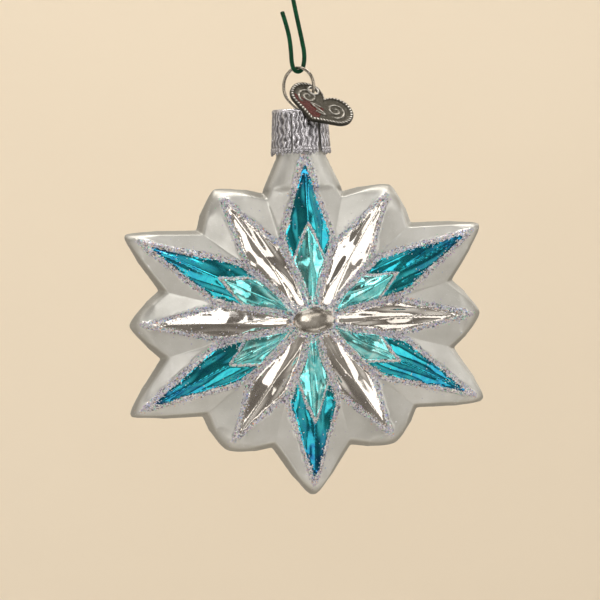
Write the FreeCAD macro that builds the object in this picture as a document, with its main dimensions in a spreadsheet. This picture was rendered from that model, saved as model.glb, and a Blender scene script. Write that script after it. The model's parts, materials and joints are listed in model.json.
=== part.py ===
import FreeCAD, Part
import math
import os
import Sketcher

# A blown-glass snowflake star ornament, hung by its cap, spring hanger and wire hook.
# Millimetres. +Z is up and -Y is the front. The origin is the place where the hook rests on a branch:
# the underside of its top bend. The star's seam lies in the XZ plane.

# Driving dimensions: name, value, meaning.
SIZES = [
    ("hook_wire", 1.1, "diameter of the coated hook wire"),
    ("hook_drop", 60.0, "from the branch to the hanger's wire"),
    ("hook_top_radius", 7.0, "centreline radius of the bend over the branch"),
    ("hook_bend_gap", 0.85, "air on each side of the hanger's wire in the bottom bend"),
    ("hook_barb", 15.0, "height of the lower free end above the bottom bend"),
    ("hook_barb_bend", 10.0, "height where the lower free end turns outwards"),
    ("hook_barb_flare", 2.0, "how far the lower free end leans out"),
    ("hook_strand", 5.0, "height of the upright strand before the shank leans"),
    ("hook_shoulder", 11.0, "drop from the top bend to the leaning shank"),
    ("hook_tail", 14.0, "drop of the upper free end"),
    ("hook_tail_bend", 10.5, "drop where the upper free end turns outwards"),
    ("hook_tail_flare", 1.0, "how far the upper free end leans out"),
    ("hook_easy_bend", 5.0, "centreline radius of the hook's slight bends"),
    ("hook_yaw", 15.0, "turn of the hook's plane about Z, degrees"),
    ("hanger_wire", 0.8, "diameter of the spring wire"),
    ("hanger_radius", 4.7, "centreline radius of the loop"),
    ("hanger_middle", 5.7, "height of the loop's middle above the cap"),
    ("hanger_corner", 3.5, "height of the loop's lower corners above the cap"),
    ("hanger_corner_run", 0.166, "straight wire between the loop and those corners"),
    ("hanger_tuck", 0.05, "how far the bends in the cap's hole tuck past each other's centres"),
    ("hanger_throat_drop", 0.2, "depth of those bends under the cap's top"),
    ("hanger_throat_radius", 1.2, "centreline radius of those bends"),
    ("hanger_leg", 14.5, "reach of the sprung legs below the cap's top"),
    ("hanger_yaw", -44.0, "turn of the loop's plane about Z, degrees"),
    ("hanger_leg_gap", 0.2, "air between a sprung leg and the neck's bore"),
    ("contact_gap", 0.05, "air between pieces that hang or rest on each other"),
    ("cap_length", 11.6, "height of the cap"),
    ("cap_top_radius", 7.0, "outer radius at the closed end"),
    ("cap_flare", 0.7, "how much wider the open end is, on the radius"),
    ("cap_sheet", 0.4, "thickness of the sheet metal"),
    ("cap_edge", 0.6, "fillet round the closed end"),
    ("cap_hole_gap", 0.75, "air round the two wires in the cap's hole"),
    ("cap_flaps", 6.0, "number of folded flaps"),
    ("cap_slit", 0.45, "width of the slit between two flaps"),
    ("cap_fold", 1.4, "height of the unslit band under the closed end"),
    ("cap_slit_turn", 35.0, "turn of the first slit from the front, degrees"),
    ("cap_notches", 30.0, "number of notches in the scalloped edge"),
    ("cap_notch", 0.8, "side of a notch"),
    ("neck_gap", 0.3, "air between the neck and the inside of the cap"),
    ("neck_wall", 0.9, "wall of the neck"),
    ("neck_foot", 3.032, "depth of the neck's foot under the star's top point"),
    ("shoulder_gap", 0.1, "air between the cap's edge and the shoulder"),
    ("shoulder_length", 10.0, "height of the shoulder under the neck"),
    ("shoulder_reach", 10.8, "half width of the shoulder at its base"),
    ("bore_depth", 6.5, "depth of the neck's bore under the neck's foot"),
    ("height_ratio", 0.86, "height of the star over its width"),
    ("long_reach", 51.2, "centre to a long point, before the height ratio"),
    ("short_reach", 43.3, "centre to a short point"),
    ("valley_reach", 38.4, "centre to a valley between two points"),
    ("rim_set_in", 1.7, "how far the rim's edge lies inside the outline"),
    ("rim_depth", 3.7, "depth of the rim's edge in front of the seam"),
    ("petal_tip_gap", 5.2, "from a long point to the tip of its petal"),
    ("petal_tip_depth", 5.2, "depth of that tip"),
    ("petal_corner_reach", 25.0, "centre to a petal's side corner"),
    ("petal_corner_turn", 14.5, "turn of that corner from the petal's axis, degrees"),
    ("petal_corner_depth", 6.6, "depth of that corner"),
    ("crystal_tip_reach", 28.2, "centre to the tip of the raised crystal"),
    ("crystal_tip_depth", 10.2, "depth of that tip"),
    ("crystal_corner_reach", 17.6, "centre to the crystal's side corner"),
    ("crystal_corner_turn", 12.5, "turn of that corner, degrees"),
    ("crystal_corner_depth", 9.4, "depth of that corner"),
    ("crystal_crest_reach", 18.0, "centre to the crystal's highest point"),
    ("crystal_crest_depth", 12.6, "depth of that point"),
    ("mirror_tip_gap", 4.2, "from a short point to the tip of its mirror facet"),
    ("mirror_tip_depth", 5.2, "depth of that tip"),
    ("mirror_corner_reach", 23.0, "centre to a mirror facet's side corner"),
    ("mirror_corner_turn", 10.5, "turn of that corner from the short axis, degrees"),
    ("mirror_corner_depth", 6.8, "depth of that corner"),
    ("mirror_crest_reach", 21.5, "centre to the mirror facet's ridge point"),
    ("mirror_crest_depth", 9.4, "depth of that point"),
    ("boss_reach", 4.8, "centre to the edge of the boss"),
    ("boss_edge_depth", 13.2, "depth of that edge"),
    ("boss_depth", 14.8, "depth of the boss at the centre"),
    ("glass_wall", 1.0, "wall of the star, across its depth"),
    ("glass_tip_wall", 2.2, "glass in a point, along its reach"),
    ("tag_lobe_radius", 4.5, "radius of the heart's lobes"),
    ("tag_lobe_offset", 4.1, "lobe centre from the heart's axis"),
    ("tag_point", 7.2, "heart's point below its lobe centres"),
    ("tag_thickness", 0.9, "thickness of the tag"),
    ("tag_hole_gap", 0.15, "air round the hanger's wire in the tag's hole, beyond the slant of the wire"),
    ("tag_edge_gap", 0.1, "air between the tag and the cap's top edge"),
    ("tag_hole_side", 3.5, "hole from the heart's axis"),
    ("tag_hole_rise", 2.75, "hole above the lobe centres"),
    ("tag_hang", 18.0, "place of the hole on the loop, degrees below its middle"),
    ("tag_turn", 20.0, "turn of the tag's face about Z, degrees"),
    ("tag_roll", 42.0, "turn of the heart in its own plane, degrees"),
]

# Sizes and heights that several pieces share, as expressions on the sheet.
NECK_RADIUS = "(Sizes.cap_top_radius - Sizes.cap_sheet - Sizes.neck_gap)"
CAP_OPEN_RADIUS = "(Sizes.cap_top_radius + Sizes.cap_flare)"
THROAT = "(Sizes.hanger_wire / 2 - Sizes.hanger_tuck)"
CAP_HOLE = f"({THROAT} + Sizes.hanger_wire / 2 + Sizes.cap_hole_gap)"
TAG_HOLE = "(Sizes.hanger_wire / 2 + Sizes.tag_thickness / 2 + Sizes.tag_hole_gap)"
HOOK_BEND = "(Sizes.hook_wire / 2 + Sizes.hanger_wire / 2 + Sizes.hook_bend_gap)"
LOOP_TOP = "(Sizes.hanger_wire / 2 + Sizes.contact_gap - Sizes.hook_drop)"
CAP_TOP = f"({LOOP_TOP} - Sizes.hanger_radius - Sizes.hanger_middle)"
NECK_BASE = f"({CAP_TOP} - Sizes.cap_length - Sizes.shoulder_gap)"
SHOULDER_BASE = f"({NECK_BASE} - Sizes.shoulder_length)"
BORE_FLOOR = f"({NECK_BASE} - Sizes.bore_depth)"
CENTRE = f"({NECK_BASE} + Sizes.neck_foot - Sizes.height_ratio * Sizes.long_reach)"

LONG_POINTS = 6
FULL_TURN = 360.0


def make_sheet(doc):
    """The spreadsheet of driving dimensions, one aliased cell each."""
    sheet = doc.addObject("Spreadsheet::Sheet", "Sizes")
    for row, (name, value, meaning) in enumerate(SIZES, start=1):
        sheet.set(f"A{row}", name)
        sheet.set(f"B{row}", str(value))
        sheet.set(f"C{row}", meaning)
        sheet.setAlias(f"B{row}", name)
    doc.recompute()
    return sheet


def bind(item, **expressions):
    """Binds properties of a document object to expressions; a double underscore stands for a dot."""
    for name, expression in expressions.items():
        item.setExpression(name.replace("__", "."), expression)


def level(sheet, expression):
    """The value of an expression on the sheet."""
    return float(sheet.evalExpression(expression))


def origin_feature(body, role):
    """A plane or axis of a body's own origin."""
    return next(item for item in body.Origin.OriginFeatures if item.Role == role)


# ---------------------------------------------------------------- bent wires


def bent_path(corners):
    """Straight runs joined by tangent arcs, through (point, bend radius) corners in order."""
    edges = []
    start = corners[0][0]
    for (before, _), (corner, radius), (after, _) in zip(corners, corners[1:], corners[2:]):
        incoming = (corner - before).normalize()
        outgoing = (after - corner).normalize()
        half_turn = incoming.getAngle(outgoing) / 2
        trim = radius * math.tan(half_turn)
        arc_start = corner - incoming * trim
        arc_end = corner + outgoing * trim
        inward = (outgoing - incoming).normalize()
        arc_middle = corner + inward * (radius / math.cos(half_turn) - radius)
        if (arc_start - start).Length > Part.Precision.confusion() * 10:
            edges.append(Part.LineSegment(start, arc_start).toShape())
        edges.append(Part.Arc(arc_start, arc_middle, arc_end).toShape())
        start = arc_end
    edges.append(Part.LineSegment(start, corners[-1][0]).toShape())
    return Part.Wire(edges)


def wire_piece(doc, name, corners, diameter, base, yaw):
    """A bent round wire: a circle swept along a path that lies in a turned upright plane."""
    spine = doc.addObject("Part::Feature", name + "_path")
    spine.Shape = bent_path(corners)
    section = doc.addObject("Part::Circle", name + "_section")
    bind(section, Radius=f"{diameter} / 2")
    first_run = corners[1][0] - corners[0][0]
    section.Placement = FreeCAD.Placement(
        corners[0][0], FreeCAD.Rotation(FreeCAD.Vector(0, 0, 1), first_run)
    )
    sweep = doc.addObject("Part::Sweep", name)
    sweep.Sections = [section]
    sweep.Spine = (spine, [f"Edge{number + 1}" for number in range(len(spine.Shape.Edges))])
    sweep.Solid = True
    sweep.Placement = FreeCAD.Placement(
        FreeCAD.Vector(0, 0, base), FreeCAD.Rotation(FreeCAD.Vector(0, 0, 1), yaw)
    )
    sweep.Label = name
    return sweep


def upright(across, height):
    """A point of the upright plane that a wire is bent in."""
    return FreeCAD.Vector(across, 0, height)


def make_wire_hook(doc, sheet):
    """The S-shaped hook: large bend over the branch, leaning shank, small bend under the hanger."""
    bottom = -sheet.hook_drop - sheet.hook_wire / 2
    top = sheet.hook_wire / 2
    small = level(sheet, HOOK_BEND)
    large = sheet.hook_top_radius
    easy = sheet.hook_easy_bend
    corners = [
        (upright(-small - sheet.hook_barb_flare, bottom + sheet.hook_barb), 0),
        (upright(-small, bottom + sheet.hook_barb_bend), easy),
        (upright(-small, bottom), small),
        (upright(small, bottom), small),
        (upright(small, bottom + sheet.hook_strand), easy),
        (upright(-large, top - sheet.hook_shoulder), easy),
        (upright(-large, top), large),
        (upright(large, top), large),
        (upright(large, top - sheet.hook_tail_bend), easy),
        (upright(large + sheet.hook_tail_flare, top - sheet.hook_tail), 0),
    ]
    return wire_piece(doc, "wire_hook", corners, "Sizes.hook_wire", 0, sheet.hook_yaw)


def make_spring_hanger(doc, sheet):
    """The spring wire: a loop above the cap, and two legs that press inside the glass neck."""
    loop = sheet.hanger_radius
    middle = sheet.hanger_middle
    corner = sheet.hanger_corner
    throat = level(sheet, THROAT)
    throat_drop = sheet.hanger_throat_drop
    bore = level(sheet, NECK_RADIUS) - sheet.neck_wall
    leg_reach = bore - sheet.hanger_wire / 2 - sheet.hanger_leg_gap
    corner_turn = math.atan2(loop - throat, corner + throat_drop)
    corner_radius = (middle - corner - sheet.hanger_corner_run) / math.tan(corner_turn / 2)
    left = [
        (upright(-leg_reach, -sheet.hanger_leg), 0),
        (upright(-throat, -throat_drop), sheet.hanger_throat_radius),
        (upright(-loop, corner), corner_radius),
        (upright(-loop, middle + loop), loop),
    ]
    right = [(upright(-point.x, point.z), radius) for point, radius in reversed(left)]
    cap_top = level(sheet, CAP_TOP)
    return wire_piece(
        doc, "spring_hanger", left + right, "Sizes.hanger_wire", cap_top, sheet.hanger_yaw
    )


# ---------------------------------------------------------------- cap


def make_ornament_cap(doc):
    """The sheet-metal cap: a flared cup with a wire hole, slits between its flaps and a notched edge."""
    body = doc.addObject("PartDesign::Body", "ornament_cap")
    axis = (origin_feature(body, "Z_Axis"), [""])

    skirt = body.newObject("PartDesign::AdditiveCone", "cap_skirt")
    bind(skirt, Radius1=CAP_OPEN_RADIUS, Radius2="Sizes.cap_top_radius", Height="Sizes.cap_length")
    bind(skirt, Placement__Base__z="-Sizes.cap_length")
    doc.recompute()

    edge = body.newObject("PartDesign::Fillet", "cap_edge_round")
    rims = [
        f"Edge{number + 1}"
        for number, candidate in enumerate(skirt.Shape.Edges)
        if abs(candidate.BoundBox.ZMin) < Part.Precision.confusion()
    ]
    edge.Base = (skirt, rims)
    bind(edge, Radius="Sizes.cap_edge")

    inside = body.newObject("PartDesign::SubtractiveCone", "cap_inside")
    bind(inside, Radius1=f"{CAP_OPEN_RADIUS} - Sizes.cap_sheet")
    bind(inside, Radius2="Sizes.cap_top_radius - Sizes.cap_sheet")
    bind(inside, Height="Sizes.cap_length - Sizes.cap_sheet")
    bind(inside, Placement__Base__z="-Sizes.cap_length")

    hole = body.newObject("PartDesign::SubtractiveCylinder", "cap_wire_hole")
    bind(hole, Radius=CAP_HOLE, Height="2 * Sizes.cap_sheet")
    bind(hole, Placement__Base__z="-1.5 * Sizes.cap_sheet")

    slit = body.newObject("PartDesign::SubtractiveBox", "cap_slit_cut")
    bind(slit, Length="Sizes.cap_top_radius", Width="Sizes.cap_slit")
    bind(slit, Height="Sizes.cap_length - Sizes.cap_fold")
    radial_cut(slit, "(Sizes.cap_slit_turn - 90)", "Sizes.cap_slit", "-Sizes.cap_length")
    slits = body.newObject("PartDesign::PolarPattern", "cap_slits")
    slits.Originals = [slit]
    slits.Axis = axis
    slits.Angle = FULL_TURN
    bind(slits, Occurrences="Sizes.cap_flaps")
    body.Tip = slits
    doc.recompute()

    notch = body.newObject("PartDesign::SubtractiveBox", "cap_notch_cut")
    bind(notch, Length="Sizes.cap_top_radius", Width="Sizes.cap_notch", Height="Sizes.cap_notch")
    notch_turn = f"({FULL_TURN} / Sizes.cap_notches / 2)"
    radial_cut(notch, notch_turn, "Sizes.cap_notch", "-Sizes.cap_length - Sizes.cap_notch / 2")
    notches = body.newObject("PartDesign::PolarPattern", "cap_notches_cut")
    notches.Originals = [notch]
    notches.Axis = axis
    notches.Angle = FULL_TURN
    bind(notches, Occurrences="Sizes.cap_notches")
    body.Tip = notches

    bind(body, Placement__Base__z=CAP_TOP)
    body.Label = "ornament_cap"
    return body


def radial_cut(box, turn, width, bottom):
    """Lays a cutting box along a radius: turned about Z, centred on its width, from mid-radius out."""
    start = "Sizes.cap_top_radius / 2"
    bind(box, Placement__Rotation__Angle=turn)
    bind(box, Placement__Base__x=f"{start} * cos({turn}) + {width} / 2 * sin({turn})")
    bind(box, Placement__Base__y=f"{start} * sin({turn}) - {width} / 2 * cos({turn})")
    bind(box, Placement__Base__z=bottom)


# ---------------------------------------------------------------- glass star


def relief_points(sheet, tip_inset=0.0, depth_inset=0.0):
    """The relief's named points in one sector, as (turn from the long axis, reach, depth)."""
    valley_turn = FULL_TURN / LONG_POINTS / 4
    short_turn = 2 * valley_turn
    petal_tip = sheet.long_reach - sheet.petal_tip_gap
    mirror_tip = sheet.short_reach - sheet.mirror_tip_gap
    petal_turn = sheet.petal_corner_turn
    mirror_turn = short_turn - sheet.mirror_corner_turn
    seam = {
        "long_tip": (0, sheet.long_reach),
        "valley": (valley_turn, sheet.valley_reach),
        "short_tip": (short_turn, sheet.short_reach),
    }
    raised = {
        "long_rim": (0, sheet.long_reach - sheet.rim_set_in, sheet.rim_depth),
        "valley_rim": (valley_turn, sheet.valley_reach - sheet.rim_set_in, sheet.rim_depth),
        "short_rim": (short_turn, sheet.short_reach - sheet.rim_set_in, sheet.rim_depth),
        "petal_tip": (0, petal_tip, sheet.petal_tip_depth),
        "petal_corner": (petal_turn, sheet.petal_corner_reach, sheet.petal_corner_depth),
        "crystal_tip": (0, sheet.crystal_tip_reach, sheet.crystal_tip_depth),
        "crystal_corner": (
            sheet.crystal_corner_turn,
            sheet.crystal_corner_reach,
            sheet.crystal_corner_depth,
        ),
        "crystal_crest": (0, sheet.crystal_crest_reach, sheet.crystal_crest_depth),
        "mirror_tip": (short_turn, mirror_tip, sheet.mirror_tip_depth),
        "mirror_corner": (mirror_turn, sheet.mirror_corner_reach, sheet.mirror_corner_depth),
        "mirror_crest": (short_turn, sheet.mirror_crest_reach, sheet.mirror_crest_depth),
        "boss_long": (0, sheet.boss_reach, sheet.boss_edge_depth),
        "boss_valley": (valley_turn, sheet.boss_reach, sheet.boss_edge_depth),
        "boss_short": (short_turn, sheet.boss_reach, sheet.boss_edge_depth),
        "boss_top": (0, 0, sheet.boss_depth),
    }
    points = {name: (turn, reach - tip_inset, 0) for name, (turn, reach) in seam.items()}
    for name, (turn, reach, depth) in raised.items():
        outer_share = tip_inset if name.endswith("_rim") else depth_inset * (reach > 0)
        points[name] = (turn, reach - outer_share, depth - depth_inset)
    return points


# The flat facets of one sector, from the seam inwards.
FACETS = [
    # side wall of the rim
    ("long_tip", "valley", "valley_rim"),
    ("long_tip", "valley_rim", "long_rim"),
    ("valley", "short_tip", "short_rim"),
    ("valley", "short_rim", "valley_rim"),
    # plain field between the rim and the petals
    ("long_rim", "valley_rim", "petal_corner"),
    ("long_rim", "petal_corner", "petal_tip"),
    ("valley_rim", "mirror_corner", "petal_corner"),
    ("valley_rim", "short_rim", "mirror_corner"),
    ("short_rim", "mirror_tip", "mirror_corner"),
    # petal on the long point
    ("petal_tip", "petal_corner", "crystal_tip"),
    ("petal_corner", "crystal_corner", "crystal_tip"),
    ("petal_corner", "boss_valley", "crystal_corner"),
    # raised crystal on the petal
    ("crystal_tip", "crystal_corner", "crystal_crest"),
    ("crystal_corner", "boss_long", "crystal_crest"),
    ("crystal_corner", "boss_valley", "boss_long"),
    # groove between the petal and the mirror facet
    ("petal_corner", "mirror_corner", "boss_valley"),
    # mirror facet on the short point
    ("mirror_tip", "mirror_crest", "mirror_corner"),
    ("mirror_corner", "mirror_crest", "boss_valley"),
    ("mirror_crest", "boss_short", "boss_valley"),
    # boss
    ("boss_long", "boss_valley", "boss_top"),
    ("boss_valley", "boss_short", "boss_top"),
]


def relief_solid(points, height_ratio, centre_height):
    """The closed faceted star: every sector of both faces, sewn along the seam."""
    sector = FULL_TURN / LONG_POINTS
    triangles = []
    for number in range(LONG_POINTS):
        axis_turn = 90 + number * sector
        for hand in (1, -1):
            for face in (1, -1):
                for names in FACETS:
                    corners = []
                    for name in names:
                        turn, reach, depth = points[name]
                        angle = math.radians(axis_turn + hand * turn)
                        corners.append(
                            FreeCAD.Vector(
                                reach * math.cos(angle),
                                face * depth,
                                centre_height + height_ratio * reach * math.sin(angle),
                            )
                        )
                    triangles.append(corners if hand == face else corners[::-1])
    faces = [Part.Face(Part.makePolygon(corners + corners[:1])) for corners in triangles]
    shell = Part.makeShell(faces)
    shell.sewShape()
    solid = Part.Solid(shell.Shells[0])
    if solid.Volume < 0:
        solid.reverse()
    return solid


def neck_parts(doc, prefix, wall, tube_foot):
    """The neck's tube and the shoulder that spreads into the top point, inset by a wall."""
    tube = doc.addObject("Part::Cylinder", prefix + "_tube")
    lip = f"({CAP_TOP} - Sizes.cap_sheet - Sizes.contact_gap)"
    overrun = "Sizes.neck_wall" if wall else "0"
    bind(tube, Radius=f"{NECK_RADIUS} - {wall or 0}")
    bind(tube, Height=f"{lip} + {overrun} - {tube_foot}")
    bind(tube, Placement__Base__z=tube_foot)

    foot = doc.addObject("Part::Ellipse", prefix + "_shoulder_foot")
    bind(foot, MajorRadius=f"Sizes.shoulder_reach - {wall or 0}")
    bind(foot, MinorRadius=f"{NECK_RADIUS} - {wall or 0}")
    bind(foot, Placement__Base__z=SHOULDER_BASE)
    head = doc.addObject("Part::Ellipse", prefix + "_shoulder_head")
    bind(head, MajorRadius=f"{NECK_RADIUS} - {wall or 0}")
    bind(head, MinorRadius=f"{NECK_RADIUS} - {wall or 0}")
    bind(head, Placement__Base__z=NECK_BASE)
    shoulder = doc.addObject("Part::Loft", prefix + "_shoulder")
    shoulder.Sections = [foot, head]
    shoulder.Solid = True
    shoulder.Ruled = True
    return [tube, shoulder]


def make_glass_star(doc, sheet):
    """The blown star: faceted outside and hollow, with an open neck that the cap covers."""
    centre = level(sheet, CENTRE)
    outside = doc.addObject("Part::Feature", "star_outside")
    outside.Shape = relief_solid(relief_points(sheet), sheet.height_ratio, centre)
    inside = doc.addObject("Part::Feature", "star_inside")
    inside_points = relief_points(sheet, sheet.glass_tip_wall, sheet.glass_wall)
    inside.Shape = relief_solid(inside_points, sheet.height_ratio, centre)

    glass = doc.addObject("Part::MultiFuse", "star_glass")
    glass.Shapes = [outside] + neck_parts(doc, "neck", "", NECK_BASE)
    star = glass
    for tool in [inside] + neck_parts(doc, "bore", "Sizes.neck_wall", BORE_FLOOR):
        hollowed = doc.addObject("Part::Cut", tool.Name + "_cut")
        hollowed.Base = star
        hollowed.Tool = tool
        star = hollowed
    star.Label = "glass_star"
    return star


# ---------------------------------------------------------------- heart tag


def heart_sketch(body, sheet):
    """The heart's outline: two lobes, and two tangent sides that meet in the point."""
    sketch = body.newObject("Sketcher::SketchObject", "heart_outline")
    sketch.AttachmentSupport = [(origin_feature(body, "XY_Plane"), "")]
    sketch.MapMode = "FlatFace"
    offset = sheet.tag_lobe_offset
    radius = sheet.tag_lobe_radius
    point = FreeCAD.Vector(0, -sheet.tag_point, 0)
    centre = FreeCAD.Vector(offset, 0, 0)
    span = math.hypot(offset, sheet.tag_point)
    touch_angle = math.atan2(-sheet.tag_point, -offset) + math.acos(radius / span)
    notch_angle = math.pi - math.acos(offset / radius)
    up = FreeCAD.Vector(0, 0, 1)
    touch = centre + FreeCAD.Vector(math.cos(touch_angle), math.sin(touch_angle), 0) * radius
    mirrored_centre = FreeCAD.Vector(-centre.x, centre.y, 0)
    mirrored_touch = FreeCAD.Vector(-touch.x, touch.y, 0)
    sketch.addGeometry(
        [
            Part.ArcOfCircle(Part.Circle(centre, up, radius), touch_angle, notch_angle),
            Part.LineSegment(point, touch),
            Part.LineSegment(point, mirrored_touch),
            Part.ArcOfCircle(
                Part.Circle(mirrored_centre, up, radius),
                math.pi - notch_angle,
                math.pi - touch_angle,
            ),
        ],
        False,
    )
    start, end, middle = 1, 2, 3
    right_lobe, right_side, left_side, left_lobe = range(4)
    x_axis, y_axis = -1, -2
    constraints = [
        ("Coincident", right_side, start, left_side, start),
        ("Tangent", right_lobe, start, right_side, end),
        ("Tangent", left_lobe, end, left_side, end),
        ("Coincident", right_lobe, end, left_lobe, start),
        ("PointOnObject", right_side, start, y_axis),
        ("PointOnObject", right_lobe, end, y_axis),
        ("PointOnObject", right_lobe, middle, x_axis),
        ("PointOnObject", left_lobe, middle, x_axis),
        ("Equal", right_lobe, left_lobe),
    ]
    for constraint in constraints:
        sketch.addConstraint(Sketcher.Constraint(*constraint))
    sizes = [
        ("Radius", (right_lobe, radius), "Sizes.tag_lobe_radius"),
        ("DistanceX", (y_axis, start, right_lobe, middle, offset), "Sizes.tag_lobe_offset"),
        ("DistanceY", (right_side, start, x_axis, start, sheet.tag_point), "Sizes.tag_point"),
    ]
    for kind, values, expression in sizes:
        number = sketch.addConstraint(Sketcher.Constraint(kind, *values))
        sketch.setExpression(f"Constraints[{number}]", expression)
    return sketch


def tag_placement(sheet):
    """Threads the tag's hole on the loop and leans the tag out just past the cap's top edge."""
    hang = math.radians(sheet.tag_hang)
    yaw = math.radians(sheet.hanger_yaw)
    reach = sheet.hanger_radius * math.cos(hang)
    rise = sheet.hanger_middle - sheet.hanger_radius * math.sin(hang)
    hole_place = FreeCAD.Vector(
        reach * math.cos(yaw), reach * math.sin(yaw), level(sheet, CAP_TOP) + rise
    )
    turn = math.radians(sheet.tag_turn)
    outward = FreeCAD.Vector(math.sin(turn), -math.cos(turn), 0)
    across = FreeCAD.Vector(math.cos(turn), math.sin(turn), 0)
    hole_out = outward.dot(FreeCAD.Vector(hole_place.x, hole_place.y, 0))

    # The back face, half a thickness behind the middle, passes the edge with the fit's air to spare.
    edge_gap = sheet.cap_top_radius + sheet.tag_edge_gap - hole_out
    slant = math.hypot(edge_gap, rise)
    lean = math.atan2(edge_gap, rise) + math.asin(sheet.tag_thickness / 2 / slant)
    uphill = FreeCAD.Vector(0, 0, 1) * math.cos(lean) - outward * math.sin(lean)
    facing = across.cross(uphill)

    roll = math.radians(sheet.tag_roll)
    sideways = across * math.cos(roll) - uphill * math.sin(roll)
    heart_up = across * math.sin(roll) + uphill * math.cos(roll)
    rotation = FreeCAD.Rotation(sideways, heart_up, facing, "XYZ")
    hole = FreeCAD.Vector(-sheet.tag_hole_side, sheet.tag_hole_rise, 0)
    return FreeCAD.Placement(hole_place - rotation.multVec(hole), rotation)


def make_heart_tag(doc, sheet):
    """The heart-shaped tag with its hole."""
    body = doc.addObject("PartDesign::Body", "heart_tag")
    pad = body.newObject("PartDesign::Pad", "tag_blank")
    pad.Profile = heart_sketch(body, sheet)
    pad.SideType = "Symmetric"
    bind(pad, Length="Sizes.tag_thickness")
    hole = body.newObject("PartDesign::SubtractiveCylinder", "tag_hole_cut")
    bind(hole, Radius=TAG_HOLE, Height="2 * Sizes.tag_thickness")
    bind(hole, Placement__Base__x="-Sizes.tag_hole_side")
    bind(hole, Placement__Base__y="Sizes.tag_hole_rise")
    bind(hole, Placement__Base__z="-Sizes.tag_thickness")
    body.Placement = tag_placement(sheet)
    body.Label = "heart_tag"
    return body


# ---------------------------------------------------------------- document


def check_document(doc, pieces):
    """Stops on any failed object, and on any piece that isn't one valid solid."""
    for item in doc.Objects:
        if {"Invalid", "Error"} & set(item.State):
            raise RuntimeError(f"{item.Label} failed: {item.State}")
    for piece in pieces:
        shape = piece.Shape
        if shape.isNull() or not shape.isValid():
            raise RuntimeError(f"{piece.Label} has no valid shape")
        if len(shape.Solids) != 1:
            raise RuntimeError(f"{piece.Label} has {len(shape.Solids)} solids")
        print(f"{piece.Label}: {shape.Volume:.1f} mm3, {len(shape.Faces)} faces, {shape.BoundBox}")


def main():
    doc = FreeCAD.newDocument("snowflake_star")
    sheet = make_sheet(doc)
    pieces = [
        make_wire_hook(doc, sheet),
        make_spring_hanger(doc, sheet),
        make_ornament_cap(doc),
        make_glass_star(doc, sheet),
        make_heart_tag(doc, sheet),
    ]
    doc.recompute()
    check_document(doc, pieces)
    os.makedirs("parts", exist_ok=True)
    for piece in pieces:
        piece.Shape.exportStep(f"parts/{piece.Label}.step")


main()
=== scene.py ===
import json
import math
import random

import bpy
import numpy as np
from mathutils import Matrix, Vector, bvhtree, kdtree, noise


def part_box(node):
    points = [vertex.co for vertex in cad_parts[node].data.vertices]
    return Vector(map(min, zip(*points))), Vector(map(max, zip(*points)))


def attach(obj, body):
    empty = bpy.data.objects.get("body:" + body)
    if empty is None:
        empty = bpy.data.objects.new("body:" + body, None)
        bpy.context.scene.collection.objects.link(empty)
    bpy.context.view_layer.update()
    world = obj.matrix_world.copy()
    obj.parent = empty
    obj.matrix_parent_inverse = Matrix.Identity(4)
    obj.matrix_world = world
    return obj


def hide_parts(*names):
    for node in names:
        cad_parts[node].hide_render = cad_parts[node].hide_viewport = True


# A blown-glass snowflake star ornament: silvered inside, with satin and gloss lacquers and glitter outside,
# hung by an embossed cap, a spring-wire loop with a heart tag, and a green wire hook.
# Metres, in the CAD frame: +Z up, -Y the front, +X to the right seen from the front.

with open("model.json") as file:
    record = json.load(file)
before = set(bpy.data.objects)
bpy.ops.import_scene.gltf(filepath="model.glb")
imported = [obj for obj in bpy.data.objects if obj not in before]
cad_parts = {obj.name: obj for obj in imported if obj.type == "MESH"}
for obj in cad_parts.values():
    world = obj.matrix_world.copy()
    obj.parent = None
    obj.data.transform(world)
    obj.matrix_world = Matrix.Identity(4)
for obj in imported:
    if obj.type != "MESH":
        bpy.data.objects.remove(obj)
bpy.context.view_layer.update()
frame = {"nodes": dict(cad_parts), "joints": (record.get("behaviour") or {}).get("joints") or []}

MM = 0.001
RANDOM = random.Random(7)
NOISE_ORIGIN = Vector((0.31, 0.17, 0.53))

# ---------------------------------------------------------------- sizes of the star

STAR_LOW, STAR_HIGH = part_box("glass_star")
CAP_LOW, CAP_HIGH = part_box("ornament_cap")

LONG_ARMS = 6
ARM_STEP = 180.0 / LONG_ARMS
VALLEY_TURN = ARM_STEP / 2
HEIGHT_RATIO = 0.86
LONG_REACH = (STAR_HIGH.x - STAR_LOW.x) / 2 / math.cos(math.radians(ARM_STEP))
SHORT_REACH = 0.846 * LONG_REACH
VALLEY_REACH = 0.75 * LONG_REACH
CENTRE_Z = STAR_LOW.z + HEIGHT_RATIO * LONG_REACH
BOSS_DEPTH = (STAR_HIGH.y - STAR_LOW.y) / 2

RIM_SET_IN = 2.1 * MM
TIP_OVERSHOOT = 3.3 * MM
TOP_OVERSHOOT = 1.6 * MM
TIP_ROUND = 5.6 * MM
TIP_SOFTNESS = 1.3
TIP_PASSES = 280
PETAL_TIP_REACH = LONG_REACH - 5.2 * MM
MIRROR_TIP_REACH = SHORT_REACH - 4.2 * MM
BOSS_REACH = 5.6 * MM
BOSS_EDGE = 12.8 * MM
BOSS_SQUASH = 0.3
NECK_RADIUS = 6.3 * MM
NECK_WALL = 0.9 * MM
SHOULDER_BASE = 31.0 * MM
SHOULDER_TOP = 41.0 * MM
SHOULDER_REACH = 10.8 * MM
SHOULDER_EASE = 2.0 * MM

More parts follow.
